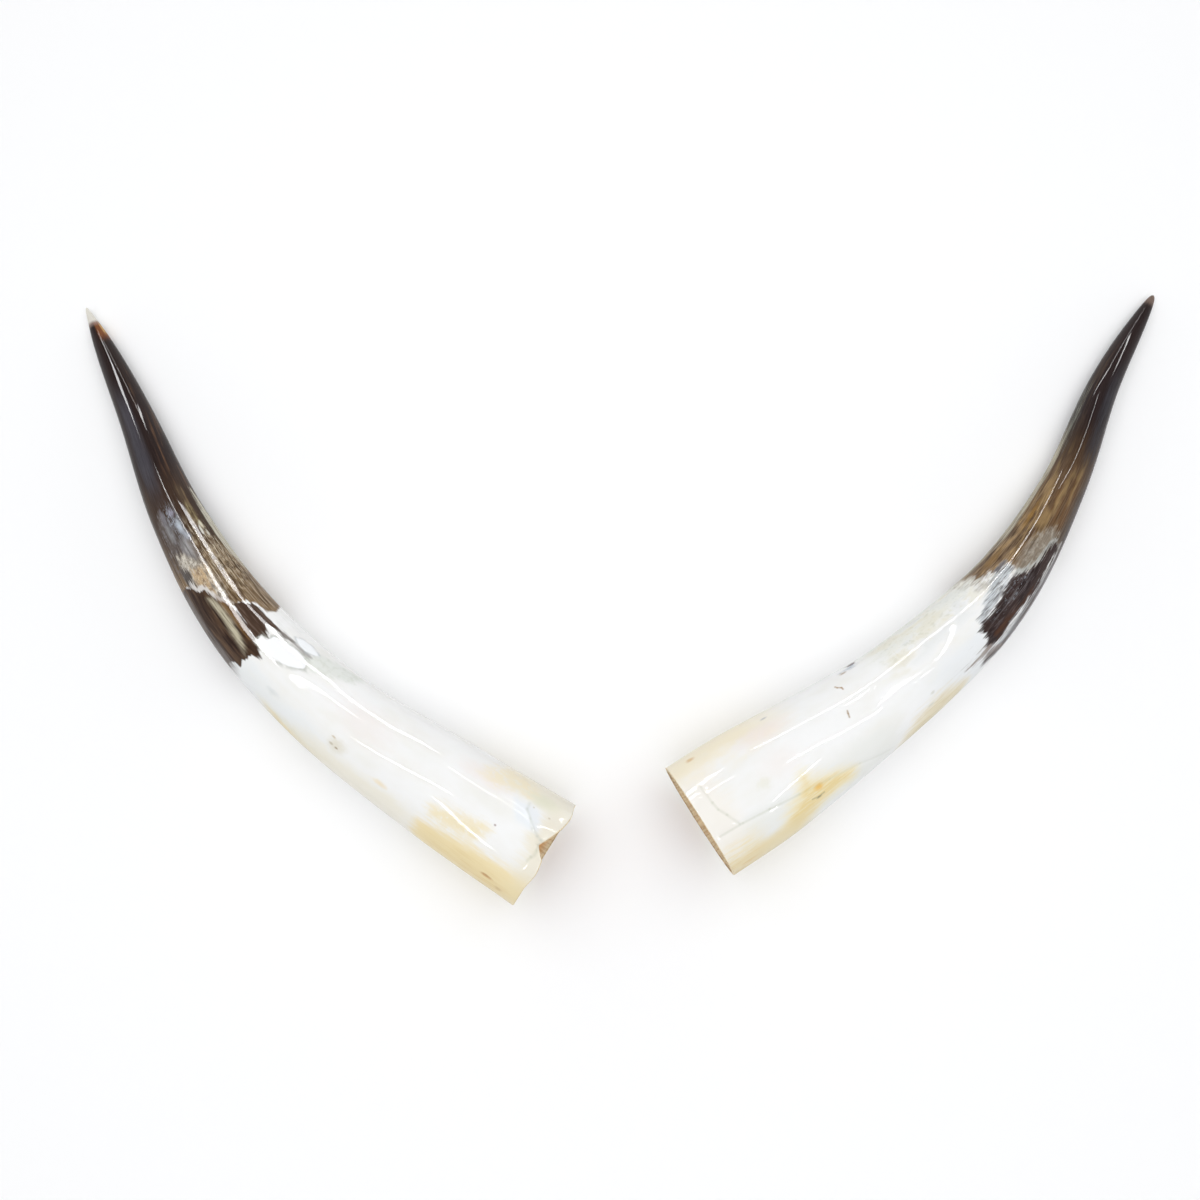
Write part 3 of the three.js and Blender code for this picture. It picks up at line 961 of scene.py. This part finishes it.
RIGHT_MARKS = (
    # Tints and stains on the white, and painted shade along the grooves
    Patch("#e9dfc0", (-10, 120), (96, 200), soft=(40, 24), waver=20, strength=0.7),
    Patch("#e7dab4", (-10, 110), (-200, -104), soft=(40, 24), waver=20, strength=0.8),
    Patch("#e3e6e8", (235, 345), (-70, -4), soft=(30, 14), waver=14, strength=0.7),
    Patch("#e4e4da", (210, 352), (42, 110), soft=(18, 12), waver=16, strength=0.7),
    Patch("#c9cabd", (220, 350), (30, 110), soft=(16, 12), gaps=Gaps("Mottle", 0.25), strength=0.55),
    Patch("#d9d3b8", (225, 340), (20, 80), soft=(16, 12), gaps=Gaps("Mottle", 0.3, gain=-1),
          strength=0.5),
    Patch("#b7b8ae", (265, 360), (16, 100), soft=(16, 12), gaps=Gaps("Short Streak", 0.4), strength=0.5),
    Patch("#dcd6bf", (215, 345), (12, 90), soft=(18, 12), gaps=Gaps("Waver", 0.1), strength=0.4),
    Patch("#d2d5d3", (225, 345), (12, 90), soft=(18, 12), gaps=Gaps("Waver", 0.1, gain=-1), strength=0.4),
    Outline("#e0d4b4", RIGHT_OLIVE, soft=9, ragged=6, strength=0.85),
    Outline("#cdbd92", RIGHT_OLIVE, grow=-4, soft=7, gaps=Gaps(), strength=0.6),
    Patch("#e3e4df", (20, 190), (-70, -18), soft=(18, 10), waver=12, strength=0.7),
    Outline("#ebdfb9", RIGHT_TAN, grow=5, soft=9, ragged=5, strength=0.8),
    Outline("#e3cd93", RIGHT_TAN, grow=-2, soft=6, ragged=5, gaps=Gaps(cover=-0.1, share=0.6),
            strength=0.85),
    Patch("#e3d3a8", (-10, 84), (-120, -48), soft=(18, 6), strength=0.85),
    Patch("#e8d9b0", (-10, 38), (-60, -28), soft=(14, 9), waver=10, gaps=Gaps(share=0.5), strength=0.8),
    Patch("#dbbf8a", (-10, 30), (-90, -50), soft=(12, 9), waver=10, gaps=Gaps(share=0.8), strength=0.6),
    Patch("#ede7dc", (-10, 30), (-34, 60), soft=(12, 10), waver=8, strength=0.55),
    Patch("#ecdfbc", (-10, 86), (52, 120), soft=(20, 9), waver=12, strength=0.95),
    Patch("#efe7d3", (-10, 112), (42, 120), soft=(20, 12), waver=16, strength=0.7),
    Spot("#ece0da", (87, 46), (22, 10), soft=0.9, strength=0.6),
    Spot("#ebe4df", (84, 10), (16, 12), soft=0.9, strength=0.5),
    Spot("#e6b964", (102, -32), (3.6, 3.2), soft=0.7, ragged=0.6, strength=0.85),
    Spot("#d9b98a", (21, 66), (3.6, 3.2), soft=0.7, strength=0.8),
    Spot("#dbdac6", (63, 1), (6, 4), soft=0.9, ragged=1, strength=0.35),
    Spot("#c9c8bd", (235, -29), (2.4, 1.6), soft=0.7, ragged=0.8, strength=0.6),
    Spot("#c9c8bd", (229, -43), (3.4, 1.4), soft=0.7, ragged=0.8, strength=0.6),
    *drawn_line("#a07c50", ((167, 50), (168, 47), (171, 44), (171, 41)), 1.5, 0.75),
    *drawn_line("#a08465", ((161, 16), (160, 13), (159, 9)), 1.5, 0.75),
    Spot("#b3b4b8", (97, 64), (3, 1.6), soft=0.7, ragged=0.7, strength=0.7),
    Spot("#6d5a58", (196, 79), (4.5, 4), soft=0.6, ragged=1.2, strength=0.85),
    Spot("#9aa6b4", (192, 70), (8, 4), soft=0.8, ragged=1.2, strength=0.7),
    Spot("#a08a72", (183, 66), (3.5, 2.5), soft=0.7, ragged=1.2, strength=0.7),
    *drawn_line("#77745f", ((104, -42), (98, -42), (92, -40)), 1.5, 0.45),
    Spot("#6f6c5a", (98, -43), (3, 1.2), soft=0.6, ragged=1.2, strength=0.5),
    # Painted shade: soft grey-green lines along the two grooves, fainter on the long groove's far half
    *drawn_line("#b4b8a2", RIGHT_LONG_CREASE[:4], 2.0, 0.3),
    *drawn_line("#b4b8a2", RIGHT_LONG_CREASE[3:], 2.0, 0.14),
    *drawn_line("#b4b8a2", RIGHT_SHORT_CREASE, 2.0, 0.28),
    # The brown and near-black end
    Outline("#c2bbab", RIGHT_BROWN, grow=12, soft=10, ragged=9, gaps=Gaps("Mottle", 0.0, share=0.9),
            strength=0.6),
    Outline("#6b5846", RIGHT_BROWN, grow=12, soft=8, ragged=9, gaps=Gaps("Short Streak", 0.12),
            strength=0.8),
    Outline("#836c54", RIGHT_BROWN, soft=2.2, ragged=7),
    Outline("#917c62", RIGHT_BROWN, grow=-2, soft=4, gaps=Gaps(cover=0.2), strength=0.8),
    Outline("#b5a68c", RIGHT_BROWN, grow=-2, soft=4, gaps=Gaps("Short Streak", 0.5), strength=0.6),
    Outline("#43311f", RIGHT_BROWN, grow=-2, soft=4, gaps=Gaps(cover=0.15, gain=-1), strength=0.8),
    Outline("#43311f", RIGHT_BROWN, soft=3, gaps=Gaps("Short Streak", 0.3, gain=-1), strength=0.6),
    Patch("#594534", (425, 760), soft=(30, 5), ragged=14, strength=0.75),
    Patch("#6b4e33", (430, 520), (-30, 30), soft=(26, 12), gaps=Gaps("Coarse Streak"), strength=0.6),
    Patch("#a98d5c", (355, 450), (22, 70), soft=(14, 8), gaps=Gaps("Short Streak", 0.25), strength=0.7),
    Patch("#3d2b1f", (345, 450), (16, 76), soft=(14, 8), gaps=Gaps("Waver", 0.05), strength=0.6),
    Patch("#a88c60", (385, 520), (-26, 60), soft=(20, 10), gaps=Gaps("Waver", 0.1, gain=-1),
          strength=0.5),
    Patch("#33261f", (500, 760), soft=(30, 5), ragged=18, strength=0.75),
    Patch("#2a2223", (535, 760), soft=(26, 5), ragged=14, strength=0.9),
    Patch("#4a3b30", (520, 640), (30, 90), soft=(30, 10), gaps=Gaps("Coarse Streak"), strength=0.6),
    # Painted sheen: a bluish-grey tint over the top of the dark end
    Patch("#3a3a3f", (505, 610), (-46, -4), soft=(24, 10), gaps=Gaps(cover=-0.15, share=0.7),
          strength=0.65),
    Patch("#7e8076", (520, 590), (54, 110), soft=(14, 6), gaps=Gaps(share=0.9), strength=0.75),
    Outline("#555256", RIGHT_OUTER_STRIP, soft=5, ragged=5, strength=0.85),
    Outline("#77726f", RIGHT_OUTER_STRIP, soft=4, gaps=Gaps(cover=0.2), strength=0.6),
    Outline("#42332b", RIGHT_OUTER_STRIP, soft=5, gaps=Gaps("Coarse Streak", 0.1), strength=0.85),
    Patch("#4b4744", (415, 490), (-58, -30), soft=(16, 9), gaps=Gaps(share=0.4), strength=0.8),
    Patch("#b9b39f", (395, 530), (68, 125), soft=(22, 5), waver=3, gaps=Gaps(cover=-0.1, share=0.6),
          strength=0.9),
    Patch("#9a947f", (340, 460), (80, 125), soft=(16, 5), waver=3, gaps=Gaps(cover=-0.1, share=0.6),
          strength=0.85),
    Spot("#94703a", (436, 46), (16, 5), soft=0.8, ragged=0.9, strength=0.7),
    Spot("#8d6c3c", (373, 56), (14, 7), soft=0.8, ragged=0.9, strength=0.6),
    Patch("#7d6a60", (696, 760), ragged=2, strength=0.8),
    # The grey patch, the dark patch and their streaks
    Outline("#877d70", RIGHT_GREY, soft=5, ragged=6, strength=0.9),
    Outline("#a39c90", RIGHT_GREY, soft=4, ragged=6, gaps=Gaps("Mottle", 0.1), strength=0.75),
    Outline("#5f5245", RIGHT_GREY, soft=4, gaps=Gaps("Short Streak", 0.25), strength=0.5),
    Outline("#bcc3c8", RIGHT_STREAKS, soft=3, ragged=5, gaps=Gaps(cover=-0.3, share=0.9), strength=0.8),
    Outline("#5d5552", RIGHT_STREAKS, soft=2, ragged=5, gaps=Gaps("Short Streak", 0.1), strength=0.85),
    Outline("#40343a", RIGHT_STREAKS, soft=2, ragged=5, gaps=Gaps("Coarse Streak", 0.15), strength=0.8),
    Outline("#b4b8b5", RIGHT_GREY_EDGE, soft=1.8, ragged=3.5, gaps=Gaps(cover=-0.3, share=0.8),
            strength=0.75),
    Outline("#3b2e2b", RIGHT_DARK, soft=1.6, ragged=5),
    Outline("#1f1718", RIGHT_DARK, grow=-2, soft=3, gaps=Gaps("Waver", 0.0), strength=0.6),
    Outline("#696464", RIGHT_DARK_HAZE, soft=4, gaps=Gaps(cover=0.15), strength=0.65),
    Outline("#8b9299", RIGHT_DARK_HAZE, soft=4, gaps=Gaps("Mottle", 0.35), strength=0.65),
    Outline("#a7aeb6", RIGHT_DARK_HAZE, soft=4, gaps=Gaps("Speckle", 0.4), strength=0.6),
    Outline("#5d5456", RIGHT_DARK, grow=-2, soft=3, gaps=Gaps("Short Streak", 0.25), strength=0.6),
    Outline("#4b2f1e", RIGHT_RED_BROWN, soft=3, ragged=4, gaps=Gaps(cover=-0.15, share=0.8),
            strength=0.85),
    Outline("#8a7d76", RIGHT_TAIL, soft=1.6, ragged=6, gaps=Gaps(cover=-0.05, share=0.9), strength=0.9),
    Patch("#b9b9b4", (262, 306), (-52, -20), soft=(12, 8), gaps=Gaps(cover=0.3), strength=0.55),
)


def on_straight_horn(form, along, around):
    """Where a place on the skin is on the straight horn."""
    radius = float(half_width(form, along))
    turned = math.radians(around)
    return (radius * math.sin(turned), radius * math.cos(turned), along)


MARK_GROUPS = {
    Patch: (PATCH, PATCH_LINKS, PATCH_VALUES),
    Outline: (OUTLINE, OUTLINE_LINKS, OUTLINE_VALUES),
    Spot: (SPOT, SPOT_LINKS, SPOT_VALUES),
}


def add_line(sketch, grain, form, mark):
    """A node with the mask of a line."""
    inputs = {
        "Place": grain["Place"],
        "Mottle": grain["Mottle"],
        "Start": on_straight_horn(form, *mark.start),
        "End": on_straight_horn(form, *mark.end),
        "Half Width": mark.half_width,
        "Strength": mark.strength,
    }
    return sketch.group(LINE, inputs)


def add_area(sketch, grain, mark, number):
    """A node with the mask of a patch, an outline or a spot."""
    group, shared, own = MARK_GROUPS[type(mark)]
    inputs = {label: grain[label] for label in shared}
    if not isinstance(mark, Spot):
        inputs["Pattern"] = grain[mark.gaps.pattern]
    if isinstance(mark, Outline):
        distance = sketch.node("ShaderNodeAttribute", attribute_name=outline_name(number))
        inputs["Distance"] = distance.outputs["Fac"]
    inputs.update(zip(own, mark.values(), strict=True))
    return sketch.group(group, inputs)


def lay_marks(sketch, grain, form, marks, colour):
    """Lays the marks over a colour, one by one."""
    for number, mark in enumerate(marks):
        if isinstance(mark, Line):
            made = add_line(sketch, grain, form, mark)
        else:
            made = add_area(sketch, grain, mark, number)
        colour = sketch.mix(made.outputs["Mask"], colour, linear(mark.colour))
    return colour


def new_material(name):
    """An empty material and a sketch of it."""
    material = bpy.data.materials.new(name)
    material.use_nodes = True
    tree = material.node_tree
    tree.nodes.clear()
    return material, Sketch(tree)


def add_grain(sketch, seed):
    """The grain's outputs, from its own part of the noise."""
    return sketch.group(GRAIN, {"Seed": seed}).outputs


# Skin: levels of noise or brightness between which an effect sets in, and shares of effects
CLOUD_LEVELS = (-0.4, 0.8)
DARK_HORN_LEVELS = (0.12, 0.55)
SHORT_FIBRE_SHARE = 0.7
SKIN_ROUGHNESS_SWING = 0.03
POLISH_WEIGHT, POLISH_IOR = 0.5, 1.38


def skin_material(form, marks, settings):
    """Polished skin: white horn under its marks, fibres in the dark horn, and a clear polish."""
    material, sketch = new_material(form.node + "_skin")
    grain = add_grain(sketch, form.grain_seed)
    clouds = sketch.step(grain["Waver"], *CLOUD_LEVELS)
    colour = sketch.mix(clouds, opaque(settings.white_colour), opaque(settings.warm_white_colour))
    colour = lay_marks(sketch, grain, form, marks, colour)
    brightness = sketch.node("ShaderNodeRGBToBW", {0: colour}).outputs[0]
    darkness = sketch.math("SUBTRACT", 1.0, sketch.step(brightness, *DARK_HORN_LEVELS))
    swing = sketch.math("MULTIPLY", darkness, settings.fibre_contrast)
    short_fibres = grain["Short Streak"]
    fibres = sketch.math("MULTIPLY_ADD", short_fibres, SHORT_FIBRE_SHARE, grain["Fine Streak"])
    shade = sketch.math("MULTIPLY_ADD", fibres, swing, 1.0)
    shade = sketch.node("ShaderNodeCombineColor", {0: shade, 1: shade, 2: shade}).outputs[0]
    colour = sketch.mix(1.0, colour, shade, "MULTIPLY")
    roughness = sketch.math(
        "MULTIPLY_ADD", grain["Mottle"], SKIN_ROUGHNESS_SWING, settings.roughness
    )
    sketch.surface(
        {
            "Base Color": colour,
            "Roughness": roughness,
            "Specular IOR Level": 0.0,
            "Coat Weight": POLISH_WEIGHT,
            "Coat IOR": POLISH_IOR,
            "Coat Roughness": settings.polish_roughness,
        }
    )
    return material


# Hollow: millimetres from the cut over which the rim's colour gives way, its streaks and its fibres
HOLLOW_GRAIN_SEED = 5.0
RIM_FADE = (0.5, 10.0)
STREAK_TINT, STREAK_STRENGTH, STREAK_LEVELS = "#cfae8c", 0.6, (-0.3, 0.5)
FIBRE_RELIEF = {"Strength": 0.5, "Distance": 1.0 * MM}
HOLLOW_ROUGHNESS, HOLLOW_ROUGHNESS_SWING = 0.62, 0.1


def hollow_material(settings):
    """Cut rim and unpolished inside: tan, fibrous and dull, browner behind the rim."""
    material, sketch = new_material(HOLLOW)
    grain = add_grain(sketch, HOLLOW_GRAIN_SEED)
    behind = sketch.step(grain["Along"], *RIM_FADE)
    colour = sketch.mix(behind, opaque(settings.rim_colour), opaque(settings.inside_colour))
    darker = sketch.mix(1.0, colour, linear(STREAK_TINT), "MULTIPLY")
    streaks = sketch.step(grain["Fine Streak"], *STREAK_LEVELS)
    colour = sketch.mix(sketch.math("MULTIPLY", streaks, STREAK_STRENGTH), colour, darker)
    height = sketch.math("ADD", grain["Fine Streak"], grain["Mottle"])
    bump = sketch.node("ShaderNodeBump", {**FIBRE_RELIEF, "Height": height})
    roughness = sketch.math(
        "MULTIPLY_ADD", grain["Mottle"], HOLLOW_ROUGHNESS_SWING, HOLLOW_ROUGHNESS
    )
    sketch.surface({"Base Color": colour, "Roughness": roughness, "Normal": bump.outputs[0]})
    return material


def make_groups():
    """Makes the shader groups that the materials share, unless they are there already."""
    if GRAIN not in bpy.data.node_groups:
        for make_group in (grain_group, patch_group, outline_group, spot_group, line_group):
            make_group()


def build_horn(form, marks, settings):
    """One horn with its materials."""
    make_groups()
    hollow = bpy.data.materials.get(HOLLOW) or hollow_material(settings)
    skin = skin_material(form, marks, settings)
    make_horn(form, settings, marks, skin, hollow)


# Studio

CAMERA_TARGET = Vector((-0.0204, -0.0120, 0.0))
CAMERA_DISTANCE = 1.1285
CAMERA_PITCH = math.radians(7.925)
SENSOR_WIDTH = 36.0

# Strip lamps, as (x, y) of both ends and the width, all in metres
STRIP_HEIGHT = 2.0
STRIPS = (
    ((-1.17, -0.12), (-0.43, 0.15), 0.055),
    ((-0.90, -0.50), (-1.23, -1.48), 0.05),
    ((-1.07, 0.34), (-0.33, 1.22), 0.045),
    ((-1.17, 0.51), (-0.70, 1.57), 0.15),
    ((-1.25, 2.95), (-1.12, 2.08), 0.22),
    ((-1.12, 2.08), (-1.70, 1.42), 0.20),
    ((1.09, 4.05), (0.22, 2.65), 0.11),
    ((1.43, 0.11), (0.63, 0.44), 0.045),
    ((1.38, -0.41), (1.37, -1.24), 0.055),
    ((1.19, 0.44), (0.43, 2.01), 0.04),
    ((1.04, 2.60), (1.83, 1.51), 0.10),
    ((-1.00, 3.60), (0.24, 2.73), 0.08),
)
SOFT_LAMP_HEIGHT = 2.4
FLOOR_HALF_WIDTH = 6.0
FLOOR_ROUGHNESS, FLOOR_SHEEN = 0.9, 0.2
CEILING_LEVELS = (0.15, 0.75)  # upward part of a direction, from the walls to the full ceiling


def make_floor(settings):
    """A pale floor that glows a little, like a light table, so that shadows stay soft."""
    floor_mesh = bpy.data.meshes.new("floor")
    half = FLOOR_HALF_WIDTH
    corners = [(-half, -half, 0), (half, -half, 0), (half, half, 0), (-half, half, 0)]
    floor_mesh.from_pydata(corners, [], [(0, 1, 2, 3)])
    floor = add_object("floor", floor_mesh)
    material, sketch = new_material("pale_floor")
    sketch.surface(
        {
            "Base Color": opaque(settings.floor_colour),
            "Roughness": FLOOR_ROUGHNESS,
            "Specular IOR Level": FLOOR_SHEEN,
            "Emission Color": linear("#ffffff"),
            "Emission Strength": settings.floor_glow,
        }
    )
    floor_mesh.materials.append(material)


def add_lamp(name, length, width, radiance, matrix):
    """An area lamp that the camera doesn't see."""
    lamp = bpy.data.lights.new(name, "AREA")
    lamp.shape = "RECTANGLE"
    lamp.size = length
    lamp.size_y = width
    lamp.energy = radiance * math.pi * length * width
    holder = add_object(name, lamp)
    holder.matrix_world = matrix
    holder.visible_camera = False
    return holder


def make_strip(start, end, width, settings):
    """A long, narrow lamp that looks at the middle of the pair and shows only in the polish."""
    start, end = (Vector((*point, STRIP_HEIGHT)) for point in (start, end))
    middle = (start + end) / 2
    across = (end - start).normalized()
    side = middle.cross(across).normalized()
    away = across.cross(side)
    rows = [[across[k], side[k], away[k], middle[k]] for k in range(3)]
    matrix = Matrix(rows + [[0, 0, 0, 1]])
    strip = add_lamp("strip", (end - start).length, width, settings.strip_radiance, matrix)
    strip.visible_diffuse = False


def make_soft_lamp(settings):
    """A wide soft lamp overhead that doesn't show in the polish."""
    size = settings.soft_lamp_size
    matrix = Matrix.Translation((0, 0, SOFT_LAMP_HEIGHT))
    lamp = add_lamp("soft_lamp", size, size, settings.soft_lamp_radiance, matrix)
    lamp.visible_glossy = False


def make_camera(settings):
    """The photo's camera, which looks almost straight down."""
    camera = add_object("camera", bpy.data.cameras.new("camera"))
    camera.data.lens = settings.lens
    camera.data.sensor_width = SENSOR_WIDTH
    back = Vector((0, -math.sin(CAMERA_PITCH), math.cos(CAMERA_PITCH)))
    camera.location = CAMERA_TARGET + back * CAMERA_DISTANCE
    camera.rotation_euler = (CAMERA_PITCH, 0, 0)
    bpy.context.scene.camera = camera


def make_world(settings):
    """A pale room: bright walls and a dim ceiling."""
    world = bpy.data.worlds.new("soft_room")
    world.use_nodes = True
    sketch = Sketch(world.node_tree)
    direction = sketch.node("ShaderNodeTexCoord").outputs["Generated"]
    height = sketch.node("ShaderNodeSeparateXYZ", {0: direction}).outputs[2]
    ceiling = sketch.step(height, *CEILING_LEVELS)
    colour = sketch.mix(ceiling, opaque(settings.wall_colour), opaque(settings.ceiling_colour))
    sketch.feed(world.node_tree.nodes["Background"].inputs["Color"], colour)
    bpy.context.scene.world = world


# Add-on

class HornSettings(bpy.types.PropertyGroup):
    """Sizes and colours of the horns."""

    around_steps: bpy.props.IntProperty(
        name="Steps Around", description="Facets round each horn", default=200, min=24, max=220
    )
    rim_rounding: bpy.props.FloatProperty(
        name="Rim Rounding", description="Radius of the rim's worn edges", default=1.4 * MM, unit="LENGTH"
    )
    wave_height: bpy.props.FloatProperty(
        name="Wave Height", description="Unevenness of the polished skin", default=0.1 * MM, unit="LENGTH"
    )
    crease_depth: bpy.props.FloatProperty(
        name="Crease Depth", description="Depth of the grooves in the skin", default=0.5 * MM, unit="LENGTH"
    )
    crease_width: bpy.props.FloatProperty(
        name="Crease Width", description="Half width of the grooves", default=3.2 * MM, unit="LENGTH"
    )
    hollow_roughness: bpy.props.FloatProperty(
        name="Hollow Roughness", description="Unevenness of the inside", default=0.5 * MM, unit="LENGTH"
    )
    white_colour: bpy.props.FloatVectorProperty(
        name="White", description="Horn white", subtype="COLOR", default=linear("#eeeeed")[:3]
    )
    warm_white_colour: bpy.props.FloatVectorProperty(
        name="Warm White", description="Warmer white in the clouds", subtype="COLOR",
        default=linear("#e9e8e3")[:3],
    )
    rim_colour: bpy.props.FloatVectorProperty(
        name="Rim", description="Cut face of the rim", subtype="COLOR", default=linear("#ead9b4")[:3]
    )
    inside_colour: bpy.props.FloatVectorProperty(
        name="Inside", description="Unpolished hollow", subtype="COLOR", default=linear("#eab877")[:3]
    )
    fibre_contrast: bpy.props.FloatProperty(
        name="Fibre Contrast", description="How far fibres darken and lighten the dark horn", default=0.45
    )
    roughness: bpy.props.FloatProperty(
        name="Roughness", description="Mean roughness under the polish", default=0.17, subtype="FACTOR"
    )
    polish_roughness: bpy.props.FloatProperty(
        name="Polish Roughness", description="Roughness of the polish", default=0.04, subtype="FACTOR"
    )


class StageSettings(bpy.types.PropertyGroup):
    """Floor, lamps and camera."""

    lens: bpy.props.FloatProperty(name="Lens", description="Focal length in millimetres", default=35.0)
    floor_colour: bpy.props.FloatVectorProperty(
        name="Floor", description="Colour of the floor", subtype="COLOR", default=(0.86, 0.86, 0.86)
    )
    floor_glow: bpy.props.FloatProperty(
        name="Floor Glow", description="Light that the floor gives by itself", default=0.07
    )
    wall_colour: bpy.props.FloatVectorProperty(
        name="Walls", description="Light from the sides", subtype="COLOR", default=(0.80, 0.81, 0.83)
    )
    ceiling_colour: bpy.props.FloatVectorProperty(
        name="Ceiling", description="Light from above between the lamps", subtype="COLOR",
        default=(0.09, 0.095, 0.105),
    )
    soft_lamp_size: bpy.props.FloatProperty(
        name="Soft Lamp Size", description="Side of the wide lamp overhead", default=4.4, unit="LENGTH"
    )
    soft_lamp_radiance: bpy.props.FloatProperty(
        name="Soft Lamp Radiance", description="Brightness of the wide lamp overhead", default=1.66
    )
    strip_radiance: bpy.props.FloatProperty(
        name="Strip Radiance", description="Brightness of the strip lamps", default=40.0
    )


class HORNS_OT_left_horn(bpy.types.Operator):
    """Build the left horn, with its chipped and dented rim"""

    bl_idname = "horns.left_horn"
    bl_label = "Left Horn"

    def execute(self, context):
        build_horn(LEFT_FORM, LEFT_MARKS, context.scene.horn_settings)
        return {"FINISHED"}


class HORNS_OT_right_horn(bpy.types.Operator):
    """Build the right horn"""

    bl_idname = "horns.right_horn"
    bl_label = "Right Horn"

    def execute(self, context):
        build_horn(RIGHT_FORM, RIGHT_MARKS, context.scene.horn_settings)
        return {"FINISHED"}


class HORNS_OT_stage(bpy.types.Operator):
    """Set up the floor, the lamps and the camera"""

    bl_idname = "horns.stage"
    bl_label = "Stage"

    def execute(self, context):
        settings = context.scene.stage_settings
        make_floor(settings)
        make_world(settings)
        make_soft_lamp(settings)
        for start, end, width in STRIPS:
            make_strip(start, end, width, settings)
        make_camera(settings)
        context.scene.view_settings.view_transform = "Standard"
        return {"FINISHED"}


class VIEW3D_PT_horns(bpy.types.Panel):
    """Builds the horns and their stage."""

    bl_label = "Polished Cow Horns"
    bl_space_type = "VIEW_3D"
    bl_region_type = "UI"
    bl_category = "Horns"

    def draw(self, context):
        for group in (context.scene.horn_settings, context.scene.stage_settings):
            for name in group.bl_rna.properties.keys():
                if name not in ("rna_type", "name"):
                    self.layout.prop(group, name)
        for operator in OPERATORS:
            self.layout.operator(operator.bl_idname)


OPERATORS = (HORNS_OT_left_horn, HORNS_OT_right_horn, HORNS_OT_stage)
CLASSES = (HornSettings, StageSettings, *OPERATORS, VIEW3D_PT_horns)


def register():
    for cls in CLASSES:
        bpy.utils.register_class(cls)
    bpy.types.Scene.horn_settings = bpy.props.PointerProperty(type=HornSettings)
    bpy.types.Scene.stage_settings = bpy.props.PointerProperty(type=StageSettings)


def unregister():
    del bpy.types.Scene.stage_settings
    del bpy.types.Scene.horn_settings
    for cls in reversed(CLASSES):
        bpy.utils.unregister_class(cls)


def main():
    register()
    bpy.ops.horns.left_horn()
    bpy.ops.horns.right_horn()
    bpy.ops.horns.stage()


if __name__ == "__main__":
    main()
